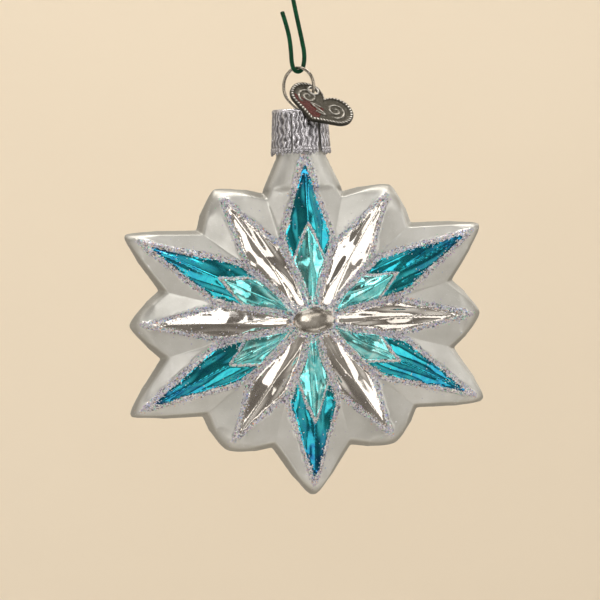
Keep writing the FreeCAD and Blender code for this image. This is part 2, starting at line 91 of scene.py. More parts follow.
# Named points of the relief: owner of the point, turn from the owner's axis in degrees, reach, depth.
RELIEF = {
    "long_tip": ("long", 0, LONG_REACH, 0),
    "valley": ("valley", 0, VALLEY_REACH, 0),
    "short_tip": ("short", 0, SHORT_REACH, 0),
    "long_rim": ("long", 0, LONG_REACH - RIM_SET_IN, 3.7 * MM),
    "valley_rim": ("valley", 0, VALLEY_REACH - RIM_SET_IN, 3.7 * MM),
    "short_rim": ("short", 0, SHORT_REACH - RIM_SET_IN, 3.7 * MM),
    "petal_tip": ("long", 0, PETAL_TIP_REACH, 5.2 * MM),
    "petal_corner": ("long", 14.6, 25.0 * MM, 6.6 * MM),
    "crystal_tip": ("long", 0, 28.2 * MM, 10.2 * MM),
    "crystal_corner": ("long", 13.6, 17.6 * MM, 9.2 * MM),
    "crystal_crest": ("long", 0, 18.0 * MM, 12.6 * MM),
    "mirror_tip": ("short", 0, MIRROR_TIP_REACH, 5.2 * MM),
    "mirror_corner": ("short", 13.2, 22.5 * MM, 6.6 * MM),
    "mirror_crest": ("short", 0, 21.5 * MM, 9.4 * MM),
    "boss_long": ("long", 0, BOSS_REACH, 13.2 * MM),
    "boss_valley": ("valley", 0, BOSS_REACH, 13.2 * MM),
    "boss_short": ("short", 0, BOSS_REACH, 13.2 * MM),
    "boss_top": ("centre", 0, 0, BOSS_DEPTH),
}

# The facets between a long arm's axis and the next short arm's axis, with the lacquer on each.
FACETS = [
    ("pearl", "long_tip", "valley", "valley_rim"),
    ("pearl", "long_tip", "valley_rim", "long_rim"),
    ("pearl", "valley", "short_tip", "short_rim"),
    ("pearl", "valley", "short_rim", "valley_rim"),
    ("pearl", "long_rim", "valley_rim", "petal_corner"),
    ("pearl", "long_rim", "petal_corner", "petal_tip"),
    ("pearl", "valley_rim", "mirror_corner", "petal_corner"),
    ("pearl", "valley_rim", "short_rim", "mirror_corner"),
    ("pearl", "short_rim", "mirror_tip", "mirror_corner"),
    ("blue", "petal_tip", "petal_corner", "crystal_tip"),
    ("blue", "petal_corner", "crystal_corner", "crystal_tip"),
    ("pale", "petal_corner", "boss_valley", "crystal_corner"),
    ("aqua", "crystal_tip", "crystal_corner", "crystal_crest"),
    ("aqua", "crystal_corner", "boss_long", "crystal_crest"),
    ("pale", "crystal_corner", "boss_valley", "boss_long"),
    ("pearl", "petal_corner", "mirror_corner", "boss_valley"),
    ("mirror", "mirror_tip", "mirror_crest", "mirror_corner"),
    ("mirror", "mirror_corner", "mirror_crest", "boss_valley"),
    ("mirror", "mirror_crest", "boss_short", "boss_valley"),
    ("boss", "boss_long", "boss_valley", "boss_top"),
    ("boss", "boss_valley", "boss_short", "boss_top"),
]
PAINTS = ["pearl", "blue", "pale", "aqua", "mirror", "boss", "glue"]

# Hand-blown unevenness, arm by arm, anticlockwise from the top point seen from the front.
ARM_STRETCH = [1.0, 1.015, 1.01, 1.015, 1.012, 0.975, 1.0, 0.97, 0.99, 1.0, 1.0, 1.01]
CRYSTAL_STRETCH = [1.0, 0.93, 0.84, 1.04, 0.88, 0.9]
REACH_JITTER = 0.25 * MM
DEPTH_JITTER = 0.3 * MM

MESH_EDGE = 0.6 * MM
SMOOTHING_PASSES = 3
SLOW_WAVE = 0.16 * MM
SLOW_WAVE_SIZE = 7 * MM
STREAK_WAVE = 0.55 * MM
# Each arm and each face takes its streaks from its own layer of the noise.
ARM_LAYER = 3.7
BACK_LAYER = 50
STREAK_LENGTH = 11.0 * MM
STREAK_WIDTH = 2.2 * MM
STREAK_STRENGTH = {"blue": 1.0, "pale": 1.0, "aqua": 1.4, "mirror": 0.5}

# Glitter trails: runs of relief points that the glue was drawn along.
TRAILS = [
    (1.0, ("petal_tip", "petal_corner", "boss_valley")),
    (0.42, ("crystal_tip", "crystal_corner", "boss_long")),
    (0.95, ("mirror_tip", "mirror_corner", "boss_valley")),
    (0.5, ("boss_long", "boss_valley", "boss_short")),
]
TRAIL_HALF_WIDTH = 1.15 * MM
TRAIL_HEIGHT = 0.2 * MM
TRAIL_TAPER = 0.55
TRAIL_WAVER = 0.45
WAVER_SIZE = 1.6 * MM
GLUE_EDGE = 0.28
TRAIL_STEP = 0.25 * MM
FLAKES_PER_SAMPLE = 5.4


# ---------------------------------------------------------------- pieces and meshes


def new_mesh_object(name, vertices, faces):
    """A smooth-shaded mesh in the scene."""
    mesh = bpy.data.meshes.new(name)
    mesh.from_pydata([tuple(v) for v in vertices], [], [tuple(f) for f in faces])
    mesh.update()
    made = bpy.data.objects.new(name, mesh)
    bpy.context.scene.collection.objects.link(made)
    for polygon in mesh.polygons:
        polygon.use_smooth = True
    return made


def new_piece(name, vertices, faces, body, node):
    """A piece of the visual model: a mesh that rides a body and stands for a CAD node."""
    piece = new_mesh_object(name, vertices, faces)
    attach(piece, body)
    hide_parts(node)
    return piece


def add_values(piece, name, values):
    """Stores one value per vertex for the material to read."""
    attribute = piece.data.attributes.new(name, "FLOAT", "POINT")
    attribute.data.foreach_set("value", values)


def ring_quad(row, column, columns, flip=False):
    """The quad between a row and the next one of a closed ring; flipped, it faces the other way."""
    a = row * columns + column
    b = row * columns + (column + 1) % columns
    return (a, a + columns, b + columns, b) if flip else (a, b, b + columns, a + columns)


def drop_unused(vertices, faces):
    """Leaves out vertices that no face uses: the vertices left, the faces, and the vertices' old numbers."""
    used = sorted({corner for face in faces for corner in face})
    renumber = {old: new for new, old in enumerate(used)}
    kept_faces = [tuple(renumber[corner] for corner in face) for face in faces]
    return [vertices[old] for old in used], kept_faces, used


def unit(value):
    """The value held between 0 and 1."""
    return min(1.0, max(0.0, value))


# ---------------------------------------------------------------- relief of the star


def arm_angle(arm):
    """Direction of an arm in the star's plane, in radians; arm 0 is the top point."""
    return math.radians(90 + ARM_STEP * arm)


def relief_point(name, sector, hand, face):
    """A relief point of one half sector on one face, and the key that its neighbours share."""
    owner, turn, reach, depth = RELIEF[name]
    long_arm = 2 * sector
    short_arm = (long_arm + hand) % (2 * LONG_ARMS)
    arm = {"long": long_arm, "short": short_arm}.get(owner)
    if owner == "long":
        angle = arm_angle(arm) + hand * math.radians(turn)
    elif owner == "short":
        angle = arm_angle(arm) - hand * math.radians(turn)
    elif owner == "valley":
        angle = arm_angle(long_arm) + hand * math.radians(VALLEY_TURN)
    else:
        angle = 0.0
    if arm is not None and reach > VALLEY_REACH:
        reach = reach * ARM_STRETCH[arm] + (TIP_OVERSHOOT if arm else TOP_OVERSHOOT)
    if name == "crystal_tip":
        reach *= CRYSTAL_STRETCH[sector]

    side = hand if turn else 0
    seam_face = face if depth else 0
    spot = arm if arm is not None else (long_arm + hand / 2) % (2 * LONG_ARMS) * (owner == "valley")
    key = (name, spot, side, seam_face)
    if depth and reach and "rim" not in name:
        uneven = random.Random(str(key))
        reach += uneven.uniform(-REACH_JITTER, REACH_JITTER)
        depth += uneven.uniform(-DEPTH_JITTER, DEPTH_JITTER)
    place = (reach * math.cos(angle), -face * depth, CENTRE_Z + HEIGHT_RATIO * reach * math.sin(angle))
    return key, place


def half_sectors():
    """Every half sector as (sector, hand, face); face 1 is the front."""
    return [(s, h, f) for s in range(LONG_ARMS) for h in (1, -1) for f in (1, -1)]


def relief_cage():
    """The star's facets as points, triangles and the lacquer of each triangle."""
    numbers = {}
    places = []
    triangles = []
    paints = []
    for sector, hand, face in half_sectors():
        for paint, *names in FACETS:
            corners = []
            for name in names:
                key, place = relief_point(name, sector, hand, face)
                if key not in numbers:
                    numbers[key] = len(places)
                    places.append(place)
                corners.append(numbers[key])
            triangles.append(corners if hand == face else corners[::-1])
            paints.append(PAINTS.index(paint))
    return np.array(places), np.array(triangles), np.array(paints)


# How a triangle is cut when some of its edges are halved. Corners 0-2; 3-5 are the edges' middles.
CUTS = {
    (0, 0, 0): [(0, 1, 2)],
    (1, 0, 0): [(0, 3, 2), (3, 1, 2)],
    (0, 1, 0): [(1, 4, 0), (4, 2, 0)],
    (0, 0, 1): [(2, 5, 1), (5, 0, 1)],
    (1, 1, 0): [(3, 1, 4), (0, 3, 4), (0, 4, 2)],
    (0, 1, 1): [(4, 2, 5), (1, 4, 5), (1, 5, 0)],
    (1, 0, 1): [(5, 0, 3), (2, 5, 3), (2, 3, 1)],
    (1, 1, 1): [(0, 3, 5), (3, 1, 4), (5, 4, 2), (3, 4, 5)],
}


def edge_table(triangles):
    """The mesh's edges, and for each triangle the numbers of its three edges."""
    pairs = np.sort(triangles[:, [0, 1, 1, 2, 2, 0]].reshape(-1, 2), axis=1)
    edges, which = np.unique(pairs, axis=0, return_inverse=True)
    return edges, which.reshape(-1, 3)


def refine(points, triangles, paints, longest):
    """Halves every edge over the longest length until none is left."""
    while True:
        edges, which = edge_table(triangles)
        lengths = np.linalg.norm(points[edges[:, 0]] - points[edges[:, 1]], axis=1)
        halved = lengths > longest
        if not halved.any():
            return points, triangles, paints
        middle_number = np.full(len(edges), -1)
        middle_number[halved] = len(points) + np.arange(halved.sum())
        middles = (points[edges[halved, 0]] + points[edges[halved, 1]]) / 2
        points = np.vstack([points, middles])
        corners = np.hstack([triangles, middle_number[which]])
        pattern = halved[which]
        new_triangles = []
        new_paints = []
        for flags, pieces in CUTS.items():
            chosen = (pattern == np.array(flags, bool)).all(axis=1)
            for piece in pieces:
                new_triangles.append(corners[chosen][:, piece])
                new_paints.append(paints[chosen])
        triangles = np.vstack(new_triangles)
        paints = np.concatenate(new_paints)


def neighbour_means(points, edges, count):
    """The mean place of each point's neighbours."""
    total = np.empty_like(points)
    for axis in range(3):
        near = points[edges[:, 1], axis]
        far = points[edges[:, 0], axis]
        total[:, axis] = np.bincount(edges[:, 0], near, len(points))
        total[:, axis] += np.bincount(edges[:, 1], far, len(points))
    return total / count


def smooth(points, triangles, passes, softness=1.0):
    """Rounds the creases: moves each point towards the mean of its neighbours, a few times."""
    edges, _ = edge_table(triangles)
    count = np.bincount(edges.ravel(), minlength=len(points))[:, None]
    for _ in range(passes):
        points = points + (neighbour_means(points, edges, count) - points) / 2 * softness
    return points


def point_normals(points, triangles):
    """Unit normals at the points, weighted by area."""
    a, b, c = (points[triangles[:, i]] for i in range(3))
    flat = np.cross(b - a, c - a)
    total = np.zeros_like(points)
    for i in range(3):
        np.add.at(total, triangles[:, i], flat)
    return total / np.maximum(np.linalg.norm(total, axis=1), 1e-20)[:, None]


def blend_shoulder(points):
    """Swells the top point into the shoulder that carries the neck."""
    height = points[:, 2] - CENTRE_Z
    upper = np.clip((height - SHOULDER_BASE) / (SHOULDER_TOP - SHOULDER_BASE), 0, 1)
    half_width = SHOULDER_REACH + (NECK_RADIUS - SHOULDER_REACH) * upper
    valley_angle = arm_angle(0.5)
    valley_x = -VALLEY_REACH * math.cos(valley_angle)
    valley_height = HEIGHT_RATIO * VALLEY_REACH * math.sin(valley_angle)
    tip_height = HEIGHT_RATIO * (LONG_REACH + TOP_OVERSHOOT)
    outline = valley_x * np.clip((tip_height - height) / (tip_height - valley_height), 0.02, 1.0)
    share = np.clip(points[:, 0] / outline, -1, 1)
    near = (height > SHOULDER_BASE) & (np.abs(points[:, 0]) < outline * 1.02)
    wider = np.maximum(half_width, outline)
    ease = np.clip((height - SHOULDER_BASE) / SHOULDER_EASE, 0, 1)
    across = points[:, 0] + ease * (share * wider - points[:, 0])
    swell = NECK_RADIUS * np.sqrt(np.clip(1 - share**2, 0, 1)) * ease
    deep = np.sign(points[:, 1]) * np.maximum(np.abs(points[:, 1]), swell)
    shaped = points.copy()
    shaped[near, 0] = across[near]
    shaped[near, 1] = deep[near]
    return shaped


def trail_samples():
    """Points along every glitter trail, and the width of the trail at each as a share of the widest."""
    samples = []
    widths = []
    for sector, hand, face in half_sectors():
        for width, names in TRAILS:
            run = [np.array(relief_point(name, sector, hand, face)[1]) for name in names]
            for leg, (start, end) in enumerate(zip(run, run[1:])):
                inner = leg == len(run) - 2 and not names[0].startswith("boss")
                steps = max(2, round(float(np.linalg.norm(end - start)) / TRAIL_STEP))
                for k in range(steps):
                    samples.append(start + (end - start) * k / steps)
                    widths.append(width * (1 - TRAIL_TAPER * k / steps * inner))
    return blend_shoulder(np.array(samples)), widths


def trail_closeness(points, samples, widths):
    """1 on a trail's middle line, 0 from its edge outwards; the edge wavers."""
    tree = kdtree.KDTree(len(samples))
    for number, sample in enumerate(samples):
        tree.insert(sample, number)
    tree.balance()
    closeness = np.zeros(len(points))
    for number, point in enumerate(points):
        _, sample, distance = tree.find(point)
        if distance < 2 * TRAIL_HALF_WIDTH:
            waver = widths[sample] * (1 + TRAIL_WAVER * noise.noise(Vector(point) / WAVER_SIZE))
            closeness[number] = max(0.0, 1 - distance / (TRAIL_HALF_WIDTH * waver))
    return closeness


def shape_boss(points):
    """Turns the hub into a smooth oval dome."""
    up = (points[:, 2] - CENTRE_Z) / HEIGHT_RATIO
    reach = np.hypot(points[:, 0], up)
    dome = np.sqrt(np.clip(1 - (reach / BOSS_REACH) ** 2, 0, 1))
    depth = BOSS_EDGE + (BOSS_DEPTH - BOSS_EDGE) * dome
    within = reach < BOSS_REACH
    points[within, 1] = np.sign(points[within, 1]) * depth[within]
    pull = np.clip(2 - reach / BOSS_REACH, 0, 1) * BOSS_SQUASH
    points[:, 2] -= (points[:, 2] - CENTRE_Z) * pull
    return points


def streak_share(points, triangles, paints):
    """How strongly each point takes part in the streaks, by the lacquers round it."""
    strength = np.array([STREAK_STRENGTH.get(paint, 0.0) for paint in PAINTS])
    share = np.zeros(len(points))
    count = np.zeros(len(points))
    for corner in range(3):
        np.add.at(share, triangles[:, corner], strength[paints])
        np.add.at(count, triangles[:, corner], 1)
    return share / count


def blown_waviness(points, share):
    """Unevenness of the blown surface as a height at each point: slow everywhere, streaked on facets."""
    heights = np.zeros(len(points))
    for number, point in enumerate(points):
        heights[number] = SLOW_WAVE * noise.noise(Vector(point) / SLOW_WAVE_SIZE + NOISE_ORIGIN)
        if share[number] > 0:
            up = (point[2] - CENTRE_Z) / HEIGHT_RATIO
            turn = math.degrees(math.atan2(up, point[0])) - 90
            arm = round(turn / ARM_STEP)
            off_axis = math.radians(turn - arm * ARM_STEP)
            reach = math.hypot(point[0], up)
            spot = (reach * math.cos(off_axis) / STREAK_LENGTH, reach * math.sin(off_axis) / STREAK_WIDTH)
            layer = ARM_LAYER * arm + BACK_LAYER * (point[1] > 0)
            heights[number] += STREAK_WAVE * share[number] * noise.noise(Vector((*spot, layer)))
    return heights


def round_tips(points, triangles):
    """Rounds the outline's tips more than the rest, but not the top one, which runs into the neck."""
    up = (points[:, 2] - CENTRE_Z) / HEIGHT_RATIO
    softness = np.zeros(len(points))
    for arm in range(1, 2 * LONG_ARMS):
        tip_reach = SHORT_REACH if arm % 2 else LONG_REACH
        tip = np.array([math.cos(arm_angle(arm)), math.sin(arm_angle(arm))]) * tip_reach
        distance = np.hypot(points[:, 0] - tip[0], up - tip[1])
        softness = np.maximum(softness, np.clip(TIP_SOFTNESS - distance / TIP_ROUND, 0, 1))
    return smooth(points, triangles, TIP_PASSES, softness[:, None])


def make_star():
    """The star's shell, open at the neck; gives its points, triangles and trail samples for the glitter."""
    points, triangles, paints = refine(*relief_cage(), MESH_EDGE)
    samples, widths = trail_samples()
    points = blend_shoulder(points)
    closeness = trail_closeness(points, samples, widths)
    share = streak_share(points, triangles, paints)
    points = smooth(shape_boss(points), triangles, SMOOTHING_PASSES)
    points = round_tips(points, triangles)
    normals = point_normals(points, triangles)
    rise = blown_waviness(points, share) + TRAIL_HEIGHT * np.sqrt(closeness)
    points = points + normals * rise[:, None]
    below_neck = points[triangles, 2].min(axis=1) < CENTRE_Z + SHOULDER_TOP
    star = new_piece("star_shell", points, triangles[below_neck], "star", "glass_star")
    glued = closeness[triangles].mean(axis=1) > GLUE_EDGE
    paints = np.where(glued, PAINTS.index("glue"), paints)[below_neck]
    star.data.polygons.foreach_set("material_index", paints.astype(np.int32))
    for paint in PAINTS:
        star.data.materials.append(LACQUERS[paint]())
    return points, triangles, list(zip(samples, widths))


# ---------------------------------------------------------------- glitter

FLAKE_RADIUS = (0.1 * MM, 0.2 * MM)
FLAKE_SIDES = 6
FLAKE_TILT = 0.75
FLAKE_LOOSENESS = 0.6
FLAKE_SCATTER = 0.5
FLAKE_LIFT = (0.02, 0.14)
FLAKE_METALLIC = 0.1
TRAIL_SPREAD = 0.95
STRAY_SHARE = 0.06
STRAY_SPREAD = 3.2
FLAKE_TINTS = [
    (0.92, 0.90, 0.98),
    (0.70, 0.68, 0.92),
    (0.97, 0.97, 0.98),
    (0.60, 0.74, 0.97),
    (0.50, 0.90, 0.66),
    (0.98, 0.62, 0.42),
    (0.80, 0.55, 0.92),
]
TINT_WEIGHTS = [30, 22, 24, 10, 6, 4, 4]


def make_glitter(name, points, triangles, samples, face):
    """Loose hexagonal flakes stuck along the trails of one face."""
    tree = bvhtree.BVHTree.FromPolygons(points.tolist(), triangles.tolist())
    vertices = []
    faces = []
    tints = []
    for sample, width in samples:
        if sample[1] * face > 0:
            continue
        for _ in range(int(FLAKES_PER_SAMPLE * width + RANDOM.random())):
            stray = STRAY_SPREAD if RANDOM.random() < STRAY_SHARE else TRAIL_SPREAD
            spread = TRAIL_HALF_WIDTH * width * stray
            offset = Vector([RANDOM.gauss(0, FLAKE_SCATTER) for _ in range(3)]) * spread
            spot, normal, _, _ = tree.find_nearest(Vector(sample) + offset)
            tilt = Vector([RANDOM.gauss(0, FLAKE_TILT) for _ in range(3)])
            facing = (normal + tilt * FLAKE_LOOSENESS).normalized()
            radius = RANDOM.uniform(*FLAKE_RADIUS)
            turn = RANDOM.uniform(0, math.tau)
            side = facing.orthogonal().normalized()
            other = facing.cross(side)
            middle = spot + normal * RANDOM.uniform(*FLAKE_LIFT) * MM
            first = len(vertices)
            for corner in range(FLAKE_SIDES):
                angle = turn + math.tau * corner / FLAKE_SIDES
                vertices.append(middle + (side * math.cos(angle) + other * math.sin(angle)) * radius)
            faces.append(range(first, first + FLAKE_SIDES))
            tints.append(RANDOM.choices(FLAKE_TINTS, TINT_WEIGHTS)[0])
    glitter = new_piece(name, vertices, faces, "star", "glass_star")
    for polygon in glitter.data.polygons:
        polygon.use_smooth = False
    layer = glitter.data.color_attributes.new("tint", "FLOAT_COLOR", "CORNER")
    colours = np.repeat(np.array([(*tint, 1.0) for tint in tints], np.float32), FLAKE_SIDES, axis=0)
    layer.data.foreach_set("color", colours.ravel())
    glitter.data.materials.append(glitter_material())


# ---------------------------------------------------------------- materials


def set_stops(elements, stops):
    """Gives a colour ramp its (position, colour) stops."""
    while len(elements) < len(stops):
        elements.new(1.0)
    for element, (position, colour) in zip(elements, stops):
        element.position = position
        element.color = (*colour, 1.0)


class Paint:
    """A node material under construction; positions are in metres in the object's own frame."""

    def __init__(self, name):
        self.material = bpy.data.materials.new(name)
        self.material.use_nodes = True
        self.tree = self.material.node_tree
        self.shader = self.tree.nodes["Principled BSDF"]
        self.place = self.node("ShaderNodeTexCoord").outputs["Object"]

    def node(self, kind, **settings):
        made = self.tree.nodes.new(kind)
        for name, value in settings.items():
            setattr(made, name, value)
        return made

    def join(self, value, socket):
        """Links an output to a socket, or sets the socket to a plain value."""
        if isinstance(value, bpy.types.NodeSocket):
            self.tree.links.new(value, socket)
        else:
            socket.default_value = value

    def axes(self):
        """The position's X, Y and Z as separate outputs."""
        separate = self.node("ShaderNodeSeparateXYZ")
        self.join(self.place, separate.inputs["Vector"])
        return separate.outputs

    def noise(self, size, detail=3.0, roughness=0.55, distortion=0.0, stretch=None):
        """Noise from 0 to 1 with features of about the given size."""
        place = self.place
        if stretch:
            mapping = self.node("ShaderNodeMapping")
            mapping.inputs["Scale"].default_value = stretch
            self.join(place, mapping.inputs["Vector"])
            place = mapping.outputs["Vector"]
        texture = self.node("ShaderNodeTexNoise")
        self.join(place, texture.inputs["Vector"])
        texture.inputs["Scale"].default_value = 1 / size
        texture.inputs["Detail"].default_value = detail
        texture.inputs["Roughness"].default_value = roughness
        texture.inputs["Distortion"].default_value = distortion
        return texture.outputs["Fac"]

    def cells(self, size):
        """A random colour for each Voronoi cell, as separate red, green and blue outputs."""
        texture = self.node("ShaderNodeTexVoronoi", feature="F1")
        self.join(self.place, texture.inputs["Vector"])
        texture.inputs["Scale"].default_value = 1 / size
        separate = self.node("ShaderNodeSeparateColor")
        self.join(texture.outputs["Color"], separate.inputs["Color"])
        return separate.outputs

    def ramp(self, factor, stops):
        """Colour ramp through (position, colour) stops."""
        made = self.node("ShaderNodeValToRGB")
        self.join(factor, made.inputs["Fac"])
        set_stops(made.color_ramp.elements, stops)
        return made.outputs["Color"]

    def mottle(self, size, stops, **kind):
        """Colour that wanders through the stops with noise of about the given size."""
        return self.ramp(self.noise(size, **kind), stops)

    def uneven(self, size, low, high, start=0.3, end=0.7):
        """A value that wanders from low to high with noise of about the given size."""
        return self.span(self.noise(size), start, end, low, high)

    def span(self, factor, low, high, to_low=0.0, to_high=1.0):
        """A value remapped and clamped from one span to another."""
        made = self.node("ShaderNodeMapRange")
        for name, value in zip(["From Min", "From Max", "To Min", "To Max"], [low, high, to_low, to_high]):
            self.join(value, made.inputs[name])
        self.join(factor, made.inputs["Value"])
        return made.outputs["Result"]

    def mix(self, factor, first, second):
        """Mixes two colours."""
        made = self.node("ShaderNodeMix", data_type="RGBA")
        self.join(factor, made.inputs["Factor"])
        for value, socket in ((first, made.inputs["A"]), (second, made.inputs["B"])):
            self.join((*value, 1.0) if isinstance(value, tuple) else value, socket)
        return made.outputs["Result"]

    def sum(self, *terms, operation="ADD"):
        """Adds (or combines by another operation) values in turn."""
        total = terms[0]
        for term in terms[1:]:
            made = self.node("ShaderNodeMath", operation=operation)
            self.join(total, made.inputs[0])
            self.join(term, made.inputs[1])
            total = made.outputs[0]
        return total

    def attribute(self, name):
        return self.node("ShaderNodeAttribute", attribute_name=name)

    def bump(self, *layers):
        """Stacks bumps of (height value, depth in metres)."""
        normal = None
        for value, depth in layers:
            made = self.node("ShaderNodeBump")
            made.inputs["Distance"].default_value = depth
            self.join(value, made.inputs["Height"])
            if normal:
                self.join(normal, made.inputs["Normal"])
            normal = made.outputs["Normal"]
        self.join(normal, self.shader.inputs["Normal"])

    def finish(self, colour, roughness, metallic=1.0, coat=0.0, coat_roughness=0.05, specular=0.5):
        self.join(colour, self.shader.inputs["Base Color"])
        self.join(roughness, self.shader.inputs["Roughness"])
        self.shader.inputs["Metallic"].default_value = metallic
        self.shader.inputs["Specular IOR Level"].default_value = specular
        self.shader.inputs["Coat Weight"].default_value = coat
        self.shader.inputs["Coat Roughness"].default_value = coat_roughness
        return self.material


def glitter_glue():
    """Dried glue packed with fine glitter: silver-lilac, with stray coloured specks."""
    paint = Paint("glitter glue")
    speck = paint.cells(0.42 * MM)
    colour = paint.ramp(
        speck["Red"],
        [
            (0.0, (0.1, 0.1, 0.14)),
            (0.3, (0.42, 0.42, 0.5)),
            (0.5, (1.0, 1.0, 1.0)),
            (0.8, (0.95, 0.95, 1.0)),
            (0.88, (0.42, 0.52, 1.0)),
            (0.95, (0.35, 0.95, 0.62)),
            (1.0, (1.0, 0.45, 0.3)),
        ],
    )
    roughness = paint.uneven(0.4 * MM, 0.22, 0.42)
    paint.bump((speck["Green"], 0.22 * MM))
    return paint.finish(colour, roughness, 0.35)


def over_silver(paint, colour, roughness, bumps, coat=0.3, metallic=0.96):
    """Finishes a lacquer that lies over the silvered glass."""
    paint.bump(*bumps)
    return paint.finish(colour, roughness, metallic, coat)


def radius_in_star(paint):
    """Distance from the star's hub, in metres."""
    axes = paint.axes()
    across = axes["X"]
    up = paint.sum(axes["Z"], -CENTRE_Z)
    up = paint.sum(up, 1 / HEIGHT_RATIO, operation="MULTIPLY")
    squared = paint.sum(
        paint.sum(across, across, operation="MULTIPLY"), paint.sum(up, up, operation="MULTIPLY")
    )
    return paint.sum(squared, 0.5, operation="POWER")


def depth_in_star(paint):
    """Distance in front of or behind the star's seam, in metres."""
    depth = paint.axes()["Y"]
    made = paint.node("ShaderNodeMath", operation="ABSOLUTE")
    paint.join(depth, made.inputs[0])
    return made.outputs[0]


def pearl_lacquer():
    """Satin silver-white lacquer of the field and rim; the side walls near the seam carry painted shade."""
    paint = Paint("pearl lacquer")
    colour = paint.mottle(
        9 * MM,
        [(0.3, (0.66, 0.675, 0.66)), (0.52, (0.76, 0.775, 0.765)), (0.75, (0.85, 0.87, 0.875))],
        detail=4.0,
    )
    # Painted shade: the colour darkens to dark grey towards the seam, on the rim's side walls and on the
    # neck's sides, which share this lacquer.
    seam = paint.span(depth_in_star(paint), 2.4 * MM, 4.0 * MM, 0.75, 0.0)
    colour = paint.mix(seam, colour, (0.36, 0.355, 0.33))
    speck = paint.span(paint.noise(0.3 * MM, detail=1.0), 0.68, 0.78)
    colour = paint.mix(speck, colour, (0.9, 0.9, 0.93))
    roughness = paint.uneven(3 * MM, 0.34, 0.46)
    bumps = [(paint.noise(1.1 * MM, detail=5.0), 0.05 * MM), (paint.noise(0.16 * MM), 0.008 * MM)]
    return over_silver(paint, colour, roughness, bumps, coat=0.12, metallic=0.6)


def blue_lacquer():
    """Clear blue lacquer over silver: deep teal to cyan, cobalt where it pooled."""
    paint = Paint("blue lacquer")
    reach = paint.span(radius_in_star(paint), 18 * MM, 46 * MM)
    streak = paint.noise(3.2 * MM, distortion=1.2)
    tone = paint.sum(paint.sum(reach, 0.55, operation="MULTIPLY"), paint.span(streak, 0.3, 0.7, 0.0, 0.5))
    colour = paint.ramp(
        tone,
        [
            (0.1, (0.035, 0.62, 0.7)),
            (0.45, (0.014, 0.45, 0.57)),
            (0.75, (0.007, 0.28, 0.5)),
            (1.0, (0.005, 0.13, 0.4)),
        ],
    )
    roughness = paint.uneven(2.0 * MM, 0.06, 0.17)
    bumps = [(paint.noise(3.0 * MM, detail=1.0, distortion=0.5), 0.05 * MM)]
    return over_silver(paint, colour, roughness, bumps, coat=0.5)


def aqua_lacquer():
    """Paler blue-green lacquer of the raised crystals."""
    paint = Paint("aqua lacquer")
    colour = paint.mottle(
        3.0 * MM,
        [(0.3, (0.08, 0.58, 0.64)), (0.5, (0.22, 0.82, 0.84)), (0.7, (0.52, 0.96, 0.95))],
        distortion=1.0,
    )
    roughness = paint.uneven(2.0 * MM, 0.07, 0.18)
    bumps = [(paint.noise(2.4 * MM, detail=1.0, distortion=0.6), 0.06 * MM)]
    return over_silver(paint, colour, roughness, bumps, coat=0.5)


def pale_lacquer():
    """Thin aqua over bright silver, in patches, on the petals' inner sides."""
    paint = Paint("pale lacquer")
    colour = paint.mottle(
        2.6 * MM,
        [(0.36, (0.1, 0.6, 0.62)), (0.5, (0.4, 0.74, 0.74)), (0.62, (0.82, 0.86, 0.86))],
        detail=4.0,
        distortion=0.8,
    )
    roughness = paint.uneven(1.5 * MM, 0.1, 0.28)
    bumps = [(paint.noise(1.4 * MM), 0.1 * MM)]
    return over_silver(paint, colour, roughness, bumps, coat=0.4)


def mirror_glass():
    """Bare silvered glass of the short facets."""
    paint = Paint("mirror glass")
    colour = paint.mottle(8 * MM, [(0.3, (0.84, 0.8, 0.75)), (0.7, (0.93, 0.91, 0.88))])
    roughness = paint.uneven(2.2 * MM, 0.03, 0.12, start=0.35, end=0.75)
    bumps = [(paint.noise(4.5 * MM, detail=1.0, distortion=0.5), 0.05 * MM)]
    return over_silver(paint, colour, roughness, bumps, coat=0.0)


def boss_glass():
    """The hub's silvered dome, dulled by handling."""
    paint = Paint("boss glass")
    colour = paint.mottle(2.5 * MM, [(0.3, (0.42, 0.39, 0.35)), (0.7, (0.66, 0.63, 0.58))], detail=4.0)
    roughness = paint.uneven(1.2 * MM, 0.14, 0.3)
    bumps = [(paint.noise(1.6 * MM), 0.06 * MM)]
    return over_silver(paint, colour, roughness, bumps, coat=0.0)


LACQUERS = {
    "pearl": pearl_lacquer,
    "blue": blue_lacquer,
    "pale": pale_lacquer,
    "aqua": aqua_lacquer,
    "mirror": mirror_glass,
    "boss": boss_glass,
    "glue": glitter_glue,
}


def glitter_material():
    """Polyester flakes, each with its own tint."""
    paint = Paint("glitter")
    tint = paint.attribute("tint").outputs["Color"]
    shade = paint.uneven(0.4 * MM, 0.75, 1.0)
    colour = paint.mix(shade, (0.3, 0.3, 0.36), tint)
    roughness = paint.uneven(0.5 * MM, 0.1, 0.24)
    return paint.finish(colour, roughness, FLAKE_METALLIC)


def cap_metal():
    """Thin embossed silver-coloured sheet with a faint purple cast, and painted shade in the embossing's
    hollows.
    """
    paint = Paint("cap metal")
    hollow_shade = paint.attribute("hollow_shade").outputs["Fac"]
    bright = paint.mottle(1.8 * MM, [(0.3, (0.56, 0.56, 0.62)), (0.7, (0.86, 0.86, 0.93))], detail=4.0)
    # Painted shade: the embossing's hollows are darkened nearly to black.
    colour = paint.mix(paint.span(hollow_shade, 0.25, 0.9), bright, (0.13, 0.125, 0.14))
    roughness = paint.uneven(0.8 * MM, 0.1, 0.26)
    paint.bump((paint.noise(0.7 * MM, detail=5.0), 0.12 * MM))
    return paint.finish(colour, roughness)


